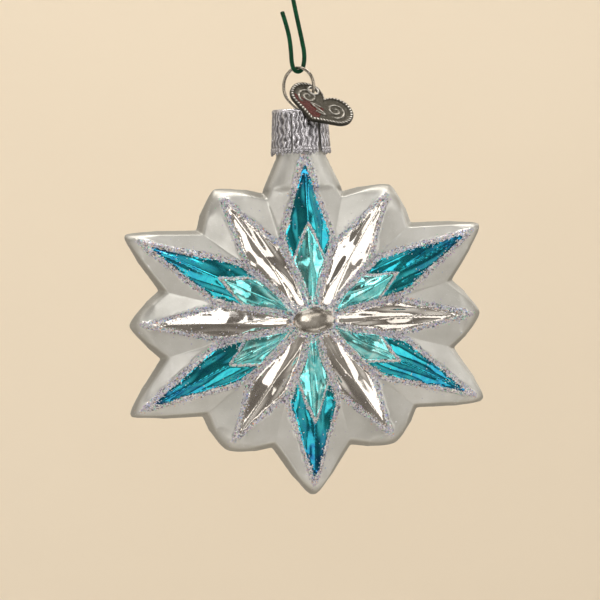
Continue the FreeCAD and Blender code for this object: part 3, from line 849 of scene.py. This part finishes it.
def tag_metal():
    """Antiqued pewter: dark in the ground, rubbed bright on the beads and scrolls."""
    paint = Paint("tag pewter")
    raised = paint.attribute("raised").outputs["Fac"]
    worn = paint.sum(raised, paint.span(paint.noise(0.6 * MM, detail=4.0), 0.3, 0.7, -0.15, 0.15))
    colour = paint.ramp(
        worn, [(0.25, (0.07, 0.065, 0.054)), (0.6, (0.22, 0.21, 0.19)), (0.95, (0.75, 0.74, 0.72))]
    )
    roughness = paint.span(worn, 0.2, 0.9, 0.5, 0.28)
    paint.bump((paint.noise(0.35 * MM, detail=4.0), 0.03 * MM))
    return paint.finish(colour, roughness)


def tag_enamel():
    """Dark red enamel filled into the tag towards its point."""
    paint = Paint("tag enamel")
    colour = paint.mottle(1.2 * MM, [(0.3, (0.05, 0.006, 0.004)), (0.7, (0.13, 0.014, 0.009))], detail=4.0)
    roughness = paint.uneven(0.6 * MM, 0.18, 0.36)
    paint.bump((paint.noise(0.5 * MM), 0.03 * MM))
    return paint.finish(colour, roughness, 0.0, specular=0.15)


def spring_metal():
    """Drawn nickel-plated spring wire."""
    paint = Paint("spring wire")
    colour = paint.mottle(2.2 * MM, [(0.3, (0.3, 0.27, 0.22)), (0.7, (0.56, 0.52, 0.46))], detail=4.0)
    roughness = paint.uneven(0.8 * MM, 0.14, 0.3)
    paint.bump((paint.noise(0.3 * MM, stretch=(1.0, 1.0, 0.2)), 0.012 * MM))
    return paint.finish(colour, roughness)


def hook_enamel():
    """Glossy dark green coating on the hook's wire."""
    paint = Paint("hook coating")
    colour = paint.mottle(
        2.6 * MM,
        [(0.3, (0.0005, 0.035, 0.014)), (0.55, (0.001, 0.065, 0.026)), (0.75, (0.003, 0.12, 0.05))],
        detail=4.0,
    )
    roughness = paint.uneven(1.4 * MM, 0.24, 0.4)
    paint.bump((paint.noise(0.9 * MM, detail=4.0), 0.03 * MM))
    return paint.finish(colour, roughness, 0.0, specular=0.2)


# ---------------------------------------------------------------- neck of the star


def lathe(profile, columns):
    """Vertices and quads of a closed profile of (radius, height) turned about the Z axis."""
    vertices = []
    for radius, height in profile:
        for column in range(columns):
            angle = math.tau * column / columns
            vertices.append((radius * math.cos(angle), radius * math.sin(angle), height))
    faces = []
    for row in range(len(profile)):
        for column in range(columns):
            faces.append([corner % len(vertices) for corner in ring_quad(row, column, columns)])
    return vertices, faces


NECK_COLUMNS = 72
NECK_ROWS = 13
LIP_STEPS = 8
NECK_OVERLAP = 3 * MM
NECK_RIPPLE = 0.05 * MM
RIPPLE_TURN = 1.7


def make_neck():
    """The open glass tube inside the cap, its lip rounded by the flame."""
    lip = STAR_HIGH.z
    foot = CENTRE_Z + SHOULDER_TOP - NECK_OVERLAP
    inner = NECK_RADIUS - NECK_WALL
    middle = (NECK_RADIUS + inner) / 2
    lip_radius = NECK_WALL / 2
    profile = [(inner, foot)]
    for step in range(LIP_STEPS + 1):
        angle = math.pi * step / LIP_STEPS
        profile.append((middle - lip_radius * math.cos(angle), lip - lip_radius * (1 - math.sin(angle))))
    for step in range(NECK_ROWS - 1, -1, -1):
        height = foot + (lip - lip_radius - foot) * step / NECK_ROWS
        profile.append((NECK_RADIUS + NECK_RIPPLE * math.sin(step * RIPPLE_TURN), height))
    vertices, faces = lathe(profile, NECK_COLUMNS)
    neck = new_piece("star_neck", vertices, [f[::-1] for f in faces], "star", "glass_star")
    neck.data.materials.append(pearl_lacquer())


# ---------------------------------------------------------------- cap

CAP_COLUMNS = 288
CAP_FLAPS = 6
FLAP_COLUMNS = CAP_COLUMNS // CAP_FLAPS
CAP_HOLE = 1.5 * MM
CAP_EDGE = 0.6 * MM
CAP_FOLD = 1.4 * MM
CAP_SHEET = 0.28 * MM
CAP_FLARE = 0.7 * MM
CAP_RELIEF = 0.3 * MM
FLAP_BOW = 0.12 * MM
FLAP_SAG = 0.1 * MM
SAG_SIZE = 4 * MM
FIRST_SLIT = 35.0
FIRST_SLIT_COLUMN = round(CAP_COLUMNS * FIRST_SLIT / 360)
SLIT_COLUMNS = 3
WIDE_SLIT_COLUMNS = 6
TOP_ROWS = 8
EDGE_ROWS = 5
FOLD_ROWS = 3
FLAP_ROWS = 44

# Embossing: upright ribs that waver and drift, with knots between them.
RIB_PITCH = 1.25 * MM
RIB_SHARE = 0.6
RIB_SWAY = 0.2
SWAY_DROP = 3.1 * MM
SWAY_ARC = 2.1 * MM
SWAY_TURN = 2.5
RIB_DRIFT = 0.5
DRIFT_SIZE = (2.2 * MM, 5 * MM)
DRIFT_LAYER = 4.0
KNOT_STRENGTH = 0.9
KNOT_SIZE = (0.7 * MM, 1.3 * MM)

# The hem: a beaded lace band, cut into teeth and torn here and there.
HEM_HEIGHT = 2.4 * MM
HEM_BLEND = 0.5 * MM
BEAD_SHARE = 0.7
LACE_PITCH = 0.95 * MM
LACE_START = 0.86
TOOTH_DEPTH = 0.6 * MM
TEAR_DEPTH = 1.1 * MM
TEAR_SIZE = 0.9 * MM
TEAR_STRENGTH = 0.9


def in_slit(column):
    """Whether a column of the cap lies in a slit; the first slit has been bent wider."""
    for slit in range(CAP_FLAPS):
        width = WIDE_SLIT_COLUMNS if slit == 0 else SLIT_COLUMNS
        start = FIRST_SLIT_COLUMN + slit * FLAP_COLUMNS - width // 2
        if (column - start) % CAP_COLUMNS < width:
            return True
    return False


def cap_rows(outer_radius, length):
    """Rows of the cap from the wire hole over the edge and down the flaps: (radius, drop, flap share)."""
    flat_edge = outer_radius - CAP_EDGE
    rows = [(CAP_HOLE + (flat_edge - CAP_HOLE) * k / TOP_ROWS, 0.0, 0.0) for k in range(TOP_ROWS + 1)]
    for k in range(1, EDGE_ROWS + 1):
        angle = math.pi / 2 * k / EDGE_ROWS
        rows.append((flat_edge + CAP_EDGE * math.sin(angle), CAP_EDGE * (1 - math.cos(angle)), 0.0))
    for k in range(1, FOLD_ROWS + 1):
        rows.append((outer_radius, CAP_EDGE + (CAP_FOLD - CAP_EDGE) * k / FOLD_ROWS, 0.0))
    for k in range(1, FLAP_ROWS + 1):
        share = k / FLAP_ROWS
        rows.append((outer_radius + CAP_FLARE * share, CAP_FOLD + (length - CAP_FOLD) * share, share))
    return rows


def emboss(arc, drop, length):
    """Height of the cap's embossing from 0 to 1: wavering ribs, with a beaded lace band at the hem."""
    sway = RIB_SWAY * math.sin(math.tau * drop / SWAY_DROP + SWAY_TURN * math.sin(arc / SWAY_ARC))
    drift = RIB_DRIFT * noise.noise(Vector((arc / DRIFT_SIZE[0], drop / DRIFT_SIZE[1], DRIFT_LAYER)))
    rib = 0.5 + 0.5 * math.cos(math.tau * (arc / RIB_PITCH + sway + drift))
    knot = 0.5 + KNOT_STRENGTH * noise.noise(Vector((arc / KNOT_SIZE[0], drop / KNOT_SIZE[1], 0.0)))
    relief = unit(RIB_SHARE * rib + (1 - RIB_SHARE) * knot)
    hem = unit((drop - length + HEM_HEIGHT) / HEM_BLEND)
    bead = abs(math.sin(math.pi * arc / LACE_PITCH)) * abs(math.sin(math.pi * drop / LACE_PITCH))
    return relief * (1 - hem) + (1 - BEAD_SHARE + BEAD_SHARE * bead) * hem


def flap_bend(column, angle, drop, share):
    """How far a flap's sheet lies in or out of its cone: bowed across, and sagging unevenly."""
    across = ((column - FIRST_SLIT_COLUMN) % FLAP_COLUMNS) / FLAP_COLUMNS * 2 - 1
    bow = (1 - across**2) * FLAP_BOW - FLAP_BOW
    sag = FLAP_SAG * noise.noise(Vector((math.sin(angle), math.cos(angle), drop / SAG_SIZE)))
    return bow * share + sag * share


def lace_rise(arc, share):
    """How far the hem's edge is cut up by the lace's teeth and the tears."""
    if share <= LACE_START:
        return 0.0
    tooth = abs(math.sin(math.pi * arc / LACE_PITCH))
    ragged = 0.5 + TEAR_STRENGTH * noise.noise(Vector((arc, 0, 0)) / TEAR_SIZE)
    cut = TOOTH_DEPTH * (1 - tooth) + TEAR_DEPTH * max(0.0, ragged)
    return (share - LACE_START) / (1 - LACE_START) * cut


def make_cap():
    """The embossed cap: rolled edge, six sprung flaps between slits, and a lace hem."""
    length = CAP_HIGH.z - CAP_LOW.z
    outer_radius = (CAP_HIGH.x - CAP_LOW.x) / 2 - CAP_FLARE
    rows = cap_rows(outer_radius, length)
    vertices = []
    hollow_shades = []
    for radius, drop, share in rows:
        for column in range(CAP_COLUMNS):
            angle = math.tau * column / CAP_COLUMNS
            arc = angle * outer_radius
            relief = 1.0
            reach = radius
            if drop > CAP_EDGE:
                relief = emboss(arc, drop, length)
                reach += flap_bend(column, angle, drop, share) - CAP_RELIEF * (1 - relief)
            height = CAP_HIGH.z - drop + lace_rise(arc, share)
            vertices.append((reach * math.sin(angle), -reach * math.cos(angle), height))
            # How deep each point sits in the embossing; this drives the painted shade in the hollows.
            hollow_shades.append(1 - relief)
    faces = []
    for row in range(len(rows) - 1):
        for column in range(CAP_COLUMNS):
            if rows[row + 1][2] == 0 or not in_slit(column):
                faces.append(ring_quad(row, column, CAP_COLUMNS, flip=True))
    vertices, faces, used = drop_unused(vertices, faces)
    cap = new_piece("cap_sheet", vertices, faces, "cap", "ornament_cap")
    add_values(cap, "hollow_shade", [hollow_shades[old] for old in used])
    sheet = cap.modifiers.new("sheet", "SOLIDIFY")
    sheet.thickness = CAP_SHEET
    sheet.offset = -1
    cap.data.materials.append(cap_metal())


# ---------------------------------------------------------------- heart tag

# The heart's measures as shares of a lobe's radius.
TAG_LOBE_OFFSET = 4.1 / 4.5
TAG_POINT = 7.2 / 4.5
TAG_HEIGHT_SHARE = (1 + TAG_POINT) / 2 / (1 + TAG_LOBE_OFFSET)
TAG_HUB_DROP = 0.22

TAG_TURNS = 720
TAG_SPOKES = 280
TAG_RINGS = 30
RING_CROWDING = 1.5
LOBE_STEPS = 60
TAG_HOLE = 1.0 * MM
TAG_HOLE_REACH = 2.0 * MM
HOLE_CELLS = 0.22 * MM
EDGE_SLANT = 0.92

# Relief of the tag's face, as rises from the face, and how bright the metal is rubbed.
GROUND_RISE = -0.22 * MM
RAISED_BY = 0.2 * MM
BAND_RISE = -0.12 * MM
ENAMEL_RISE = 0.06 * MM
HIGHEST_BEAD = 0.05 * MM
BEAD_PITCH = 0.92 * MM
BEAD_BAND = 0.95 * MM
BEAD_SLANT = 1.6 * MM
BEAD_ROUND = 0.8
BEAD_FLOOR = 0.25
SCROLL_HALF_WIDTH = 0.26 * MM
COLLAR_REACH = 0.75 * MM
COLLAR_WIDTH = 0.8 * MM
ENAMEL_SHARE = 0.3
BEAD_BRIGHTNESS = (0.1, 0.95)
FACE_BRIGHTNESS = (0.22, 0.62)
BACK_BRIGHTNESS = 0.35
BACK_INSET = 0.02 * MM

# Scrolls: a spiral in each lobe and a wavy stem between them, in lobe radii and degrees.
SPIRAL_STEPS = 90
SPIRAL_START = -70
SPIRAL_TURN = 560
SPIRAL_RADIUS = 0.58
SPIRAL_SHRINK = 0.48
SPIRAL_CENTRE = (0.86, -0.02)
STEM_STEPS = 40
STEM_SWING = 0.5
STEM_MIDDLE = -0.55
STEM_REACH = 0.22


def tag_axes(corners):
    """The tag's own sideways, up and facing directions, from its CAD node's corners."""
    spread = corners - corners.mean(0)
    _, directions = np.linalg.eigh(spread.T @ spread)
    facing = Vector(directions[:, 0])
    if facing.y > 0:
        facing = -facing
    start = Vector(directions[:, 1])
    best = None
    for step in range(TAG_TURNS):
        up = Matrix.Rotation(math.tau * step / TAG_TURNS, 3, facing) @ start
        side = up.cross(facing)
        across = corners @ np.array(side)
        along = corners @ np.array(up)
        width = across.max() - across.min()
        middle = (across.max() + across.min()) / 2
        lean = abs(middle - across[along.argmin()])
        misfit = abs((along.max() - along.min()) - width * TAG_HEIGHT_SHARE)
        if best is None or lean + misfit < best[0]:
            best = (lean + misfit, side, up)
    return best[1], best[2], facing


def tag_rings(outline, hub):
    """Rings of spots from round the hub out to the outline, closer together near the edge."""
    for ring in range(1, TAG_RINGS + 1):
        share = 1 - (1 - ring / TAG_RINGS) ** RING_CROWDING
        for number, edge_point in enumerate(outline):
            yield number, hub + (edge_point - hub) * share, edge_point


def tag_cells(hub_number):
    """Faces of the tag's flat: a fan round the hub, then rings of quads."""
    cells = []
    for number in range(TAG_SPOKES):
        cells.append((hub_number, number, (number + 1) % TAG_SPOKES))
        for ring in range(TAG_RINGS - 1):
            cells.append(ring_quad(ring, number, TAG_SPOKES, flip=True))
    return cells


def rim_faces(cells, count):
    """Quads that join the open edges of the front's cells to the same edges of the back."""
    edges = {}
    for cell in cells:
        for a, b in zip(cell, cell[1:] + cell[:1]):
            edges[(a, b)] = True
    return [(b, a, a + count, b + count) for a, b in edges if (b, a) not in edges]


def make_tag():
    """The heart tag: beaded border, scrollwork and an enamelled patch; no lettering."""
    mesh = frame["nodes"]["heart_tag"].data
    corners = np.array([v.co for v in mesh.vertices])
    side, up, facing = tag_axes(corners)
    across, along, depth = (corners @ np.array(direction) for direction in (side, up, facing))
    lobe = (across.max() - across.min()) / 2 / (1 + TAG_LOBE_OFFSET)
    half = (depth.max() - depth.min()) / 2
    origin = (
        side * float((across.max() + across.min()) / 2)
        + up * float(along.max() - lobe)
        + facing * float((depth.max() + depth.min()) / 2)
    )
    hinge = next(j for j in frame["joints"] if j["name"] == "tag_flap")
    hole = Vector(hinge["pos_m"]) - origin
    hole = Vector((hole.dot(side), hole.dot(up)))

    outline = heart_outline(lobe)
    length = heart_length(outline)
    scrolls = scroll_points(lobe)
    hub = Vector((0.0, -TAG_HUB_DROP * lobe))
    flat = []
    heights = []
    for number, spot, edge_point in tag_rings(outline, hub):
        from_edge = (edge_point - spot).length * EDGE_SLANT
        arc = number / TAG_SPOKES * length
        heights.append(tag_relief(spot, from_edge, arc, lobe, scrolls, hole))
        flat.append(spot)
    flat.append(hub)
    heights.append(tag_relief(hub, lobe, 0.0, lobe, scrolls, hole))
    count = len(flat)

    cells = [c for c in tag_cells(count - 1) if min((flat[k] - hole).length for k in c) >= HOLE_CELLS]
    opened = [open_hole(spot, hole) for spot in flat]
    front = [origin + side * p.x + up * p.y + facing * (half + h[0]) for p, h in zip(opened, heights)]
    back = [origin + side * p.x + up * p.y - facing * (half - BACK_INSET) for p in opened]
    faces = cells + [tuple(k + count for k in reversed(c)) for c in cells] + rim_faces(cells, count)
    vertices, faces, used = drop_unused(front + back, faces)
    tag = new_piece("tag_heart", vertices, faces, "tag", "heart_tag")
    add_values(tag, "raised", [heights[k][1] if k < count else BACK_BRIGHTNESS for k in used])
    tag.data.materials.append(tag_metal())
    tag.data.materials.append(tag_enamel())
    for number, cell in enumerate(cells):
        if all(heights[k][2] for k in cell):
            tag.data.polygons[number].material_index = 1


def heart_outline(lobe):
    """Points round the heart at equal spacing, anticlockwise from its point."""
    offset = TAG_LOBE_OFFSET * lobe
    point = Vector((0.0, -TAG_POINT * lobe))
    span = math.hypot(offset, TAG_POINT * lobe)
    touch = math.atan2(-TAG_POINT * lobe, -offset) + math.acos(lobe / span)
    notch = math.pi - math.acos(offset / lobe)
    half = [point]
    for k in range(LOBE_STEPS + 1):
        angle = touch + (notch - touch) * k / LOBE_STEPS
        half.append(Vector((offset + lobe * math.cos(angle), lobe * math.sin(angle))))
    loop = half + [Vector((-p.x, p.y)) for p in reversed(half[1:-1])]
    spacing = heart_length(loop) / TAG_SPOKES
    even = []
    travelled = 0.0
    wanted = 0.0
    for start, end in zip(loop, loop[1:] + loop[:1]):
        length = (end - start).length
        while wanted < travelled + length and len(even) < TAG_SPOKES:
            even.append(start + (end - start) * ((wanted - travelled) / length))
            wanted += spacing
        travelled += length
    return even


def heart_length(loop):
    """Length round a closed outline."""
    return sum((end - start).length for start, end in zip(loop, loop[1:] + loop[:1]))


def scroll_points(lobe):
    """Points along the tag's scrolls: a spiral in each lobe, and a stem between them."""
    points = []
    for hand in (1, -1):
        centre = Vector((hand * SPIRAL_CENTRE[0] * lobe, SPIRAL_CENTRE[1] * lobe))
        for k in range(SPIRAL_STEPS):
            share = k / (SPIRAL_STEPS - 1)
            angle = math.radians(SPIRAL_START + SPIRAL_TURN * share)
            radius = lobe * (SPIRAL_RADIUS - SPIRAL_SHRINK * share)
            points.append(centre + Vector((hand * radius * math.cos(angle), radius * math.sin(angle))))
    for k in range(STEM_STEPS):
        share = k / (STEM_STEPS - 1)
        swing = lobe * STEM_SWING * math.sin(math.tau * share)
        points.append(Vector((swing, lobe * (STEM_MIDDLE - STEM_REACH * math.cos(math.pi * share)))))
    return points


def tag_relief(spot, from_edge, arc, lobe, scrolls, hole):
    """(rise of the surface, brightness of the metal, whether enamelled) at a spot of the tag's face."""
    if from_edge < BEAD_BAND:
        dark, rubbed = BEAD_BRIGHTNESS
        dome = math.sin(math.pi * min(1.0, from_edge / BEAD_BAND))
        turn = math.tau * (arc / BEAD_PITCH + from_edge / BEAD_SLANT)
        bead = (0.5 + 0.5 * math.cos(turn)) ** BEAD_ROUND
        rise = BAND_RISE + RAISED_BY * dome * (BEAD_FLOOR + (1 - BEAD_FLOOR) * bead)
        return min(rise, HIGHEST_BEAD), dark + rubbed * bead * dome, False
    dark, rubbed = FACE_BRIGHTNESS
    nearest = min((spot - p).length for p in scrolls)
    line = max(0.0, 1 - nearest / SCROLL_HALF_WIDTH)
    collar = max(0.0, 1 - max(0.0, (spot - hole).length - COLLAR_REACH) / COLLAR_WIDTH)
    hole_side = spot.x * math.copysign(1.0, hole.x)
    patch = spot.y < -ENAMEL_SHARE * lobe and hole_side > -ENAMEL_SHARE * lobe
    enamelled = patch and not line and collar == 0.0
    lift = max(line**0.5, collar)
    rise = GROUND_RISE + RAISED_BY * lift + (ENAMEL_RISE if enamelled else 0.0)
    return rise, dark + rubbed * lift, enamelled


def open_hole(spot, hole):
    """Pushes the face's points outwards from the hole's middle so that a round hole opens."""
    away = spot - hole
    distance = away.length
    if distance >= TAG_HOLE_REACH or distance == 0:
        return spot
    wider = TAG_HOLE + distance * (TAG_HOLE_REACH - TAG_HOLE) / TAG_HOLE_REACH
    return hole + away / distance * wider


# ---------------------------------------------------------------- wires

WIRE_SIDES = 20
END_TURNS = (80, 55, 30)
END_BULGE = 0.5
CURVE_STEPS = 8

# The hook lies in an upright plane; across and height are measured in it.
HOOK_YAW = 15.0
HOOK_DROP = 60.0 * MM
HOOK_TOP_RADIUS = 7.0 * MM
HOOK_TOP_STEPS = 8
HOOK_SHOULDER_DROP = 2.0 * MM
HOOK_KNEE_SHARE = 0.93
HOOK_KNEE_DROP = 12.2 * MM
HOOK_END_DROP = 10.0 * MM
HOOK_TIP_DROP = 13.7 * MM
HOOK_TIP_FLARE = 0.9 * MM
SHANK_STEPS = 5
SHANK_WOBBLE = 0.1 * MM
WOBBLE_TURN = 2.1

# The hook's lower bend from the wire's end round to the foot of the shank: (across, height) in mm.
LOWER_BEND = [
    (-3.7, 14.9),
    (-2.75, 11.6),
    (-2.05, 8.4),
    (-1.75, 5.2),
    (-1.62, 2.4),
    (-1.1, 0.62),
    (0.0, 0.0),
    (1.1, 0.62),
    (1.68, 2.4),
    (1.8, 4.6),
    (1.35, 7.6),
]


def smooth_run(corners, steps):
    """A smooth curve through the corners (Catmull-Rom), with a number of steps between each pair."""
    padded = [corners[0] * 2 - corners[1]] + corners + [corners[-1] * 2 - corners[-2]]
    run = []
    for a, b, c, d in zip(padded, padded[1:], padded[2:], padded[3:]):
        for k in range(steps):
            t = k / steps
            run.append(
                b
                + (c - a) * (t / 2)
                + (a - b * 2.5 + c * 2 - d * 0.5) * t**2
                + ((b - c) * 1.5 + (d - a) / 2) * t**3
            )
    run.append(corners[-1])
    return run


def wire_end(place, outwards, radius):
    """Stations of a wire's rounded end, from its tip inwards: (place, radius)."""
    bulges = [math.radians(turn) for turn in END_TURNS]
    return [(place + outwards * radius * END_BULGE * math.sin(b), radius * math.cos(b)) for b in bulges]


def tube(run, radius):
    """Vertices and faces of a round wire along a curve, with rounded ends."""
    stations = wire_end(run[0], (run[0] - run[1]).normalized(), radius)
    stations += [(place, radius) for place in run]
    stations += wire_end(run[-1], (run[-1] - run[-2]).normalized(), radius)[::-1]
    side = Vector((0.0, 1.0, 0.0))
    vertices = []
    for number, (place, width) in enumerate(stations):
        ahead = stations[min(number + 1, len(stations) - 1)][0]
        behind = stations[max(number - 1, 0)][0]
        along = (ahead - behind).normalized()
        side = (side - along * side.dot(along)).normalized()
        other = along.cross(side)
        for k in range(WIRE_SIDES):
            angle = math.tau * k / WIRE_SIDES
            vertices.append(place + (side * math.cos(angle) + other * math.sin(angle)) * width)
    faces = [ring_quad(row, k, WIRE_SIDES) for row in range(len(stations) - 1) for k in range(WIRE_SIDES)]
    faces.append(range(WIRE_SIDES)[::-1])
    faces.append(range(len(vertices) - WIRE_SIDES, len(vertices)))
    return vertices, faces


def hook_point(across, height, wobble=0.0):
    """A point of the hook's plane, or a little in front of or behind it."""
    turn = math.radians(HOOK_YAW)
    x = across * math.cos(turn) - wobble * math.sin(turn)
    y = across * math.sin(turn) + wobble * math.cos(turn)
    return Vector((x, y, height))


def make_hook():
    """The coated hook: a narrow bend under the loop, a leaning shank, and the bend over the branch."""
    low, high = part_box("wire_hook")
    radius = (high.z - low.z - HOOK_DROP) / 4
    bottom = low.z + radius
    top = high.z - radius
    centre = top - HOOK_TOP_RADIUS
    lower = [Vector((across * MM, bottom + height * MM)) for across, height in LOWER_BEND]
    corners = [hook_point(*spot) for spot in lower]
    knee = Vector((-HOOK_TOP_RADIUS * HOOK_KNEE_SHARE, top - HOOK_KNEE_DROP))
    for k in range(1, SHANK_STEPS + 1):
        spot = lower[-1] + (knee - lower[-1]) * k / SHANK_STEPS
        corners.append(hook_point(*spot, SHANK_WOBBLE * math.sin(WOBBLE_TURN * k)))
    corners.append(hook_point(-HOOK_TOP_RADIUS, centre - HOOK_SHOULDER_DROP))
    for k in range(HOOK_TOP_STEPS + 1):
        angle = math.pi * (1 - k / HOOK_TOP_STEPS)
        across = HOOK_TOP_RADIUS * math.cos(angle)
        corners.append(hook_point(across, centre + HOOK_TOP_RADIUS * math.sin(angle)))
    corners.append(hook_point(HOOK_TOP_RADIUS, top - HOOK_END_DROP))
    corners.append(hook_point(HOOK_TOP_RADIUS + HOOK_TIP_FLARE, top - HOOK_TIP_DROP))
    vertices, faces = tube(smooth_run(corners, CURVE_STEPS), radius)
    hook = new_piece("hook_wire", vertices, faces, "hook", "wire_hook")
    hook.data.materials.append(hook_enamel())


def paint_node(node, material):
    """Gives a CAD node its material."""
    mesh = frame["nodes"][node].data
    mesh.materials.clear()
    mesh.materials.append(material)


# ---------------------------------------------------------------- room, lights and camera

HUB = Vector((0.0, 0.0, CENTRE_Z))
FLOOR_Z = -1.4
FLOOR_HALF_WIDTH = 10.0
FLOOR_NEAR_Y = -11.0
WALL_Y = 1.9
WALL_HEIGHT = 4.4
WALL_BEND = 0.6
BEND_STEPS = 16


def make_room():
    """A pale floor that curves up into a wall behind the object; mirror reflections don't show it."""
    profile = [(FLOOR_NEAR_Y, FLOOR_Z)]
    for step in range(BEND_STEPS + 1):
        angle = math.pi / 2 * step / BEND_STEPS
        rise = WALL_BEND * (1 - math.cos(angle))
        profile.append((WALL_Y - WALL_BEND + WALL_BEND * math.sin(angle), FLOOR_Z + rise))
    profile.append((WALL_Y, FLOOR_Z + WALL_HEIGHT))
    vertices = [(x, y, z) for y, z in profile for x in (-FLOOR_HALF_WIDTH, FLOOR_HALF_WIDTH)]
    faces = [(2 * k, 2 * k + 1, 2 * k + 3, 2 * k + 2) for k in range(len(profile) - 1)]
    floor = new_mesh_object("floor", vertices, faces)
    paint = Paint("pale floor")
    colour = paint.mottle(0.9, [(0.3, (0.78, 0.7, 0.58)), (0.7, (0.84, 0.77, 0.66))])
    floor.data.materials.append(paint.finish(colour, 0.8, 0.0))
    floor.visible_glossy = False


def make_softbox(name, place, target, width, height, power, colour):
    """A rectangular soft light aimed at a target."""
    light = bpy.data.lights.new(name, "AREA")
    light.shape = "RECTANGLE"
    light.size = width
    light.size_y = height
    light.energy = power
    light.color = colour
    lamp = bpy.data.objects.new(name, light)
    bpy.context.scene.collection.objects.link(lamp)
    lamp.location = place
    lamp.rotation_mode = "QUATERNION"
    lamp.rotation_quaternion = (target - Vector(place)).to_track_quat("-Z", "Y")


CREAM = (1.0, 0.95, 0.88)
DAYLIGHT = (1.0, 0.98, 0.95)
WARM = (1.0, 0.94, 0.85)

# Softboxes aimed at the star: name, place, width, height, power in watts, colour.
STAR_LIGHTS = [
    ("right softbox", (1.35, -0.85, 0.0), 0.8, 1.25, 4.4, CREAM),
    ("left softbox", (-1.34, -0.85, -0.36), 0.6, 0.7, 1.9, CREAM),
    ("top softbox", (-0.26, -0.85, 1.21), 0.5, 0.7, 1.8, DAYLIGHT),
    ("upper right strip", (0.83, -0.85, 0.95), 0.3, 0.5, 0.6, CREAM),
    ("lower right strip", (0.74, -0.85, -1.2), 0.4, 0.4, 0.6, CREAM),
    ("lower left strip", (-1.0, -0.85, -0.95), 0.5, 0.6, 1.1, CREAM),
    ("low strip", (0.2, -0.85, -1.38), 0.6, 0.45, 1.0, CREAM),
    ("front fill", (-0.5, -1.9, 0.35), 0.7, 0.9, 4.2, CREAM),
    ("rear softbox", (1.15, 1.15, 0.5), 0.8, 0.8, 2.4, CREAM),
    ("rear top strip", (-0.6, 1.15, 1.2), 0.5, 0.5, 0.9, CREAM),
]
FLOOR_LIGHT_Y = -4.5
FLOOR_LIGHT_Z = 2.2
WALL_LIGHT_Y = 0.5
WALL_LIGHT_Z = 1.6
WALL_LIGHT_AIM_Z = 0.1


def make_lights():
    """Warm softboxes round the star, in front and behind, and a light each for the floor and the wall."""
    for name, place, *shape in STAR_LIGHTS:
        make_softbox(name, place, HUB, *shape)
    under = Vector((0.0, FLOOR_LIGHT_Y, FLOOR_Z))
    make_softbox("floor light", (0.0, FLOOR_LIGHT_Y, FLOOR_LIGHT_Z), under, 3.0, 3.0, 36.0, WARM)
    ahead = Vector((0.0, WALL_Y, WALL_LIGHT_AIM_Z))
    make_softbox("wall light", (0.0, WALL_LIGHT_Y, WALL_LIGHT_Z), ahead, 2.4, 0.9, 40.0, WARM)


# Colour of the surround by direction, from the camera's side (0) to behind the object (1).
SURROUND = [
    (0.0, (0.46, 0.43, 0.39)),
    (0.12, (0.22, 0.2, 0.175)),
    (0.3, (0.13, 0.115, 0.1)),
    (0.5, (0.7, 0.66, 0.6)),
    (0.7, (0.62, 0.55, 0.45)),
    (0.86, (0.3, 0.27, 0.23)),
    (1.0, (0.55, 0.5, 0.42)),
]


def make_world():
    """Soft warm surround in bright and dark bands, which the mirror facets pick up."""
    world = bpy.data.worlds.new("studio")
    world.use_nodes = True
    bpy.context.scene.world = world
    tree = world.node_tree
    background = tree.nodes["Background"]
    direction = tree.nodes.new("ShaderNodeTexCoord")
    split = tree.nodes.new("ShaderNodeSeparateXYZ")
    tree.links.new(direction.outputs["Generated"], split.inputs["Vector"])
    span = tree.nodes.new("ShaderNodeMapRange")
    span.inputs["From Min"].default_value = -1.0
    tree.links.new(split.outputs["Y"], span.inputs["Value"])
    ramp = tree.nodes.new("ShaderNodeValToRGB")
    ramp.color_ramp.interpolation = "EASE"
    set_stops(ramp.color_ramp.elements, SURROUND)
    tree.links.new(span.outputs["Result"], ramp.inputs["Fac"])
    tree.links.new(ramp.outputs["Color"], background.inputs["Color"])


CAMERA_DISTANCE = 1.0
CAMERA_TURN = -7.0
CAMERA_RISE = 1.5
CAMERA_ROLL = 2.0
CAMERA_LENS = 239.0
SENSOR_WIDTH = 36.0
NEAREST = 0.05
FARTHEST = 20.0
LOOK_SIDE = -0.0113
LOOK_RISE = 0.032


def make_camera():
    """The camera, a little to the object's left, looking at the star's hub."""
    turn = math.radians(CAMERA_TURN)
    rise = math.radians(CAMERA_RISE)
    back = Vector((math.sin(turn) * math.cos(rise), -math.cos(turn) * math.cos(rise), math.sin(rise)))
    data = bpy.data.cameras.new("camera")
    data.lens = CAMERA_LENS
    data.sensor_width = SENSOR_WIDTH
    data.clip_start = NEAREST
    data.clip_end = FARTHEST
    data.shift_x = LOOK_SIDE
    data.shift_y = LOOK_RISE
    camera = bpy.data.objects.new("camera", data)
    bpy.context.scene.collection.objects.link(camera)
    camera.location = HUB + back * CAMERA_DISTANCE
    camera.rotation_mode = "QUATERNION"
    aim = (-back).to_track_quat("-Z", "Y")
    camera.rotation_quaternion = aim @ Matrix.Rotation(math.radians(-CAMERA_ROLL), 4, "Z").to_quaternion()
    bpy.context.scene.camera = camera


# ---------------------------------------------------------------- everything


star_points, star_triangles, trail = make_star()
make_glitter("glitter_front", star_points, star_triangles, trail, 1)
make_glitter("glitter_back", star_points, star_triangles, trail, -1)
make_neck()
make_cap()
make_tag()
paint_node("spring_hanger", spring_metal())
make_hook()
make_room()
make_lights()
make_world()
make_camera()
bpy.context.scene.view_settings.view_transform = "Standard"
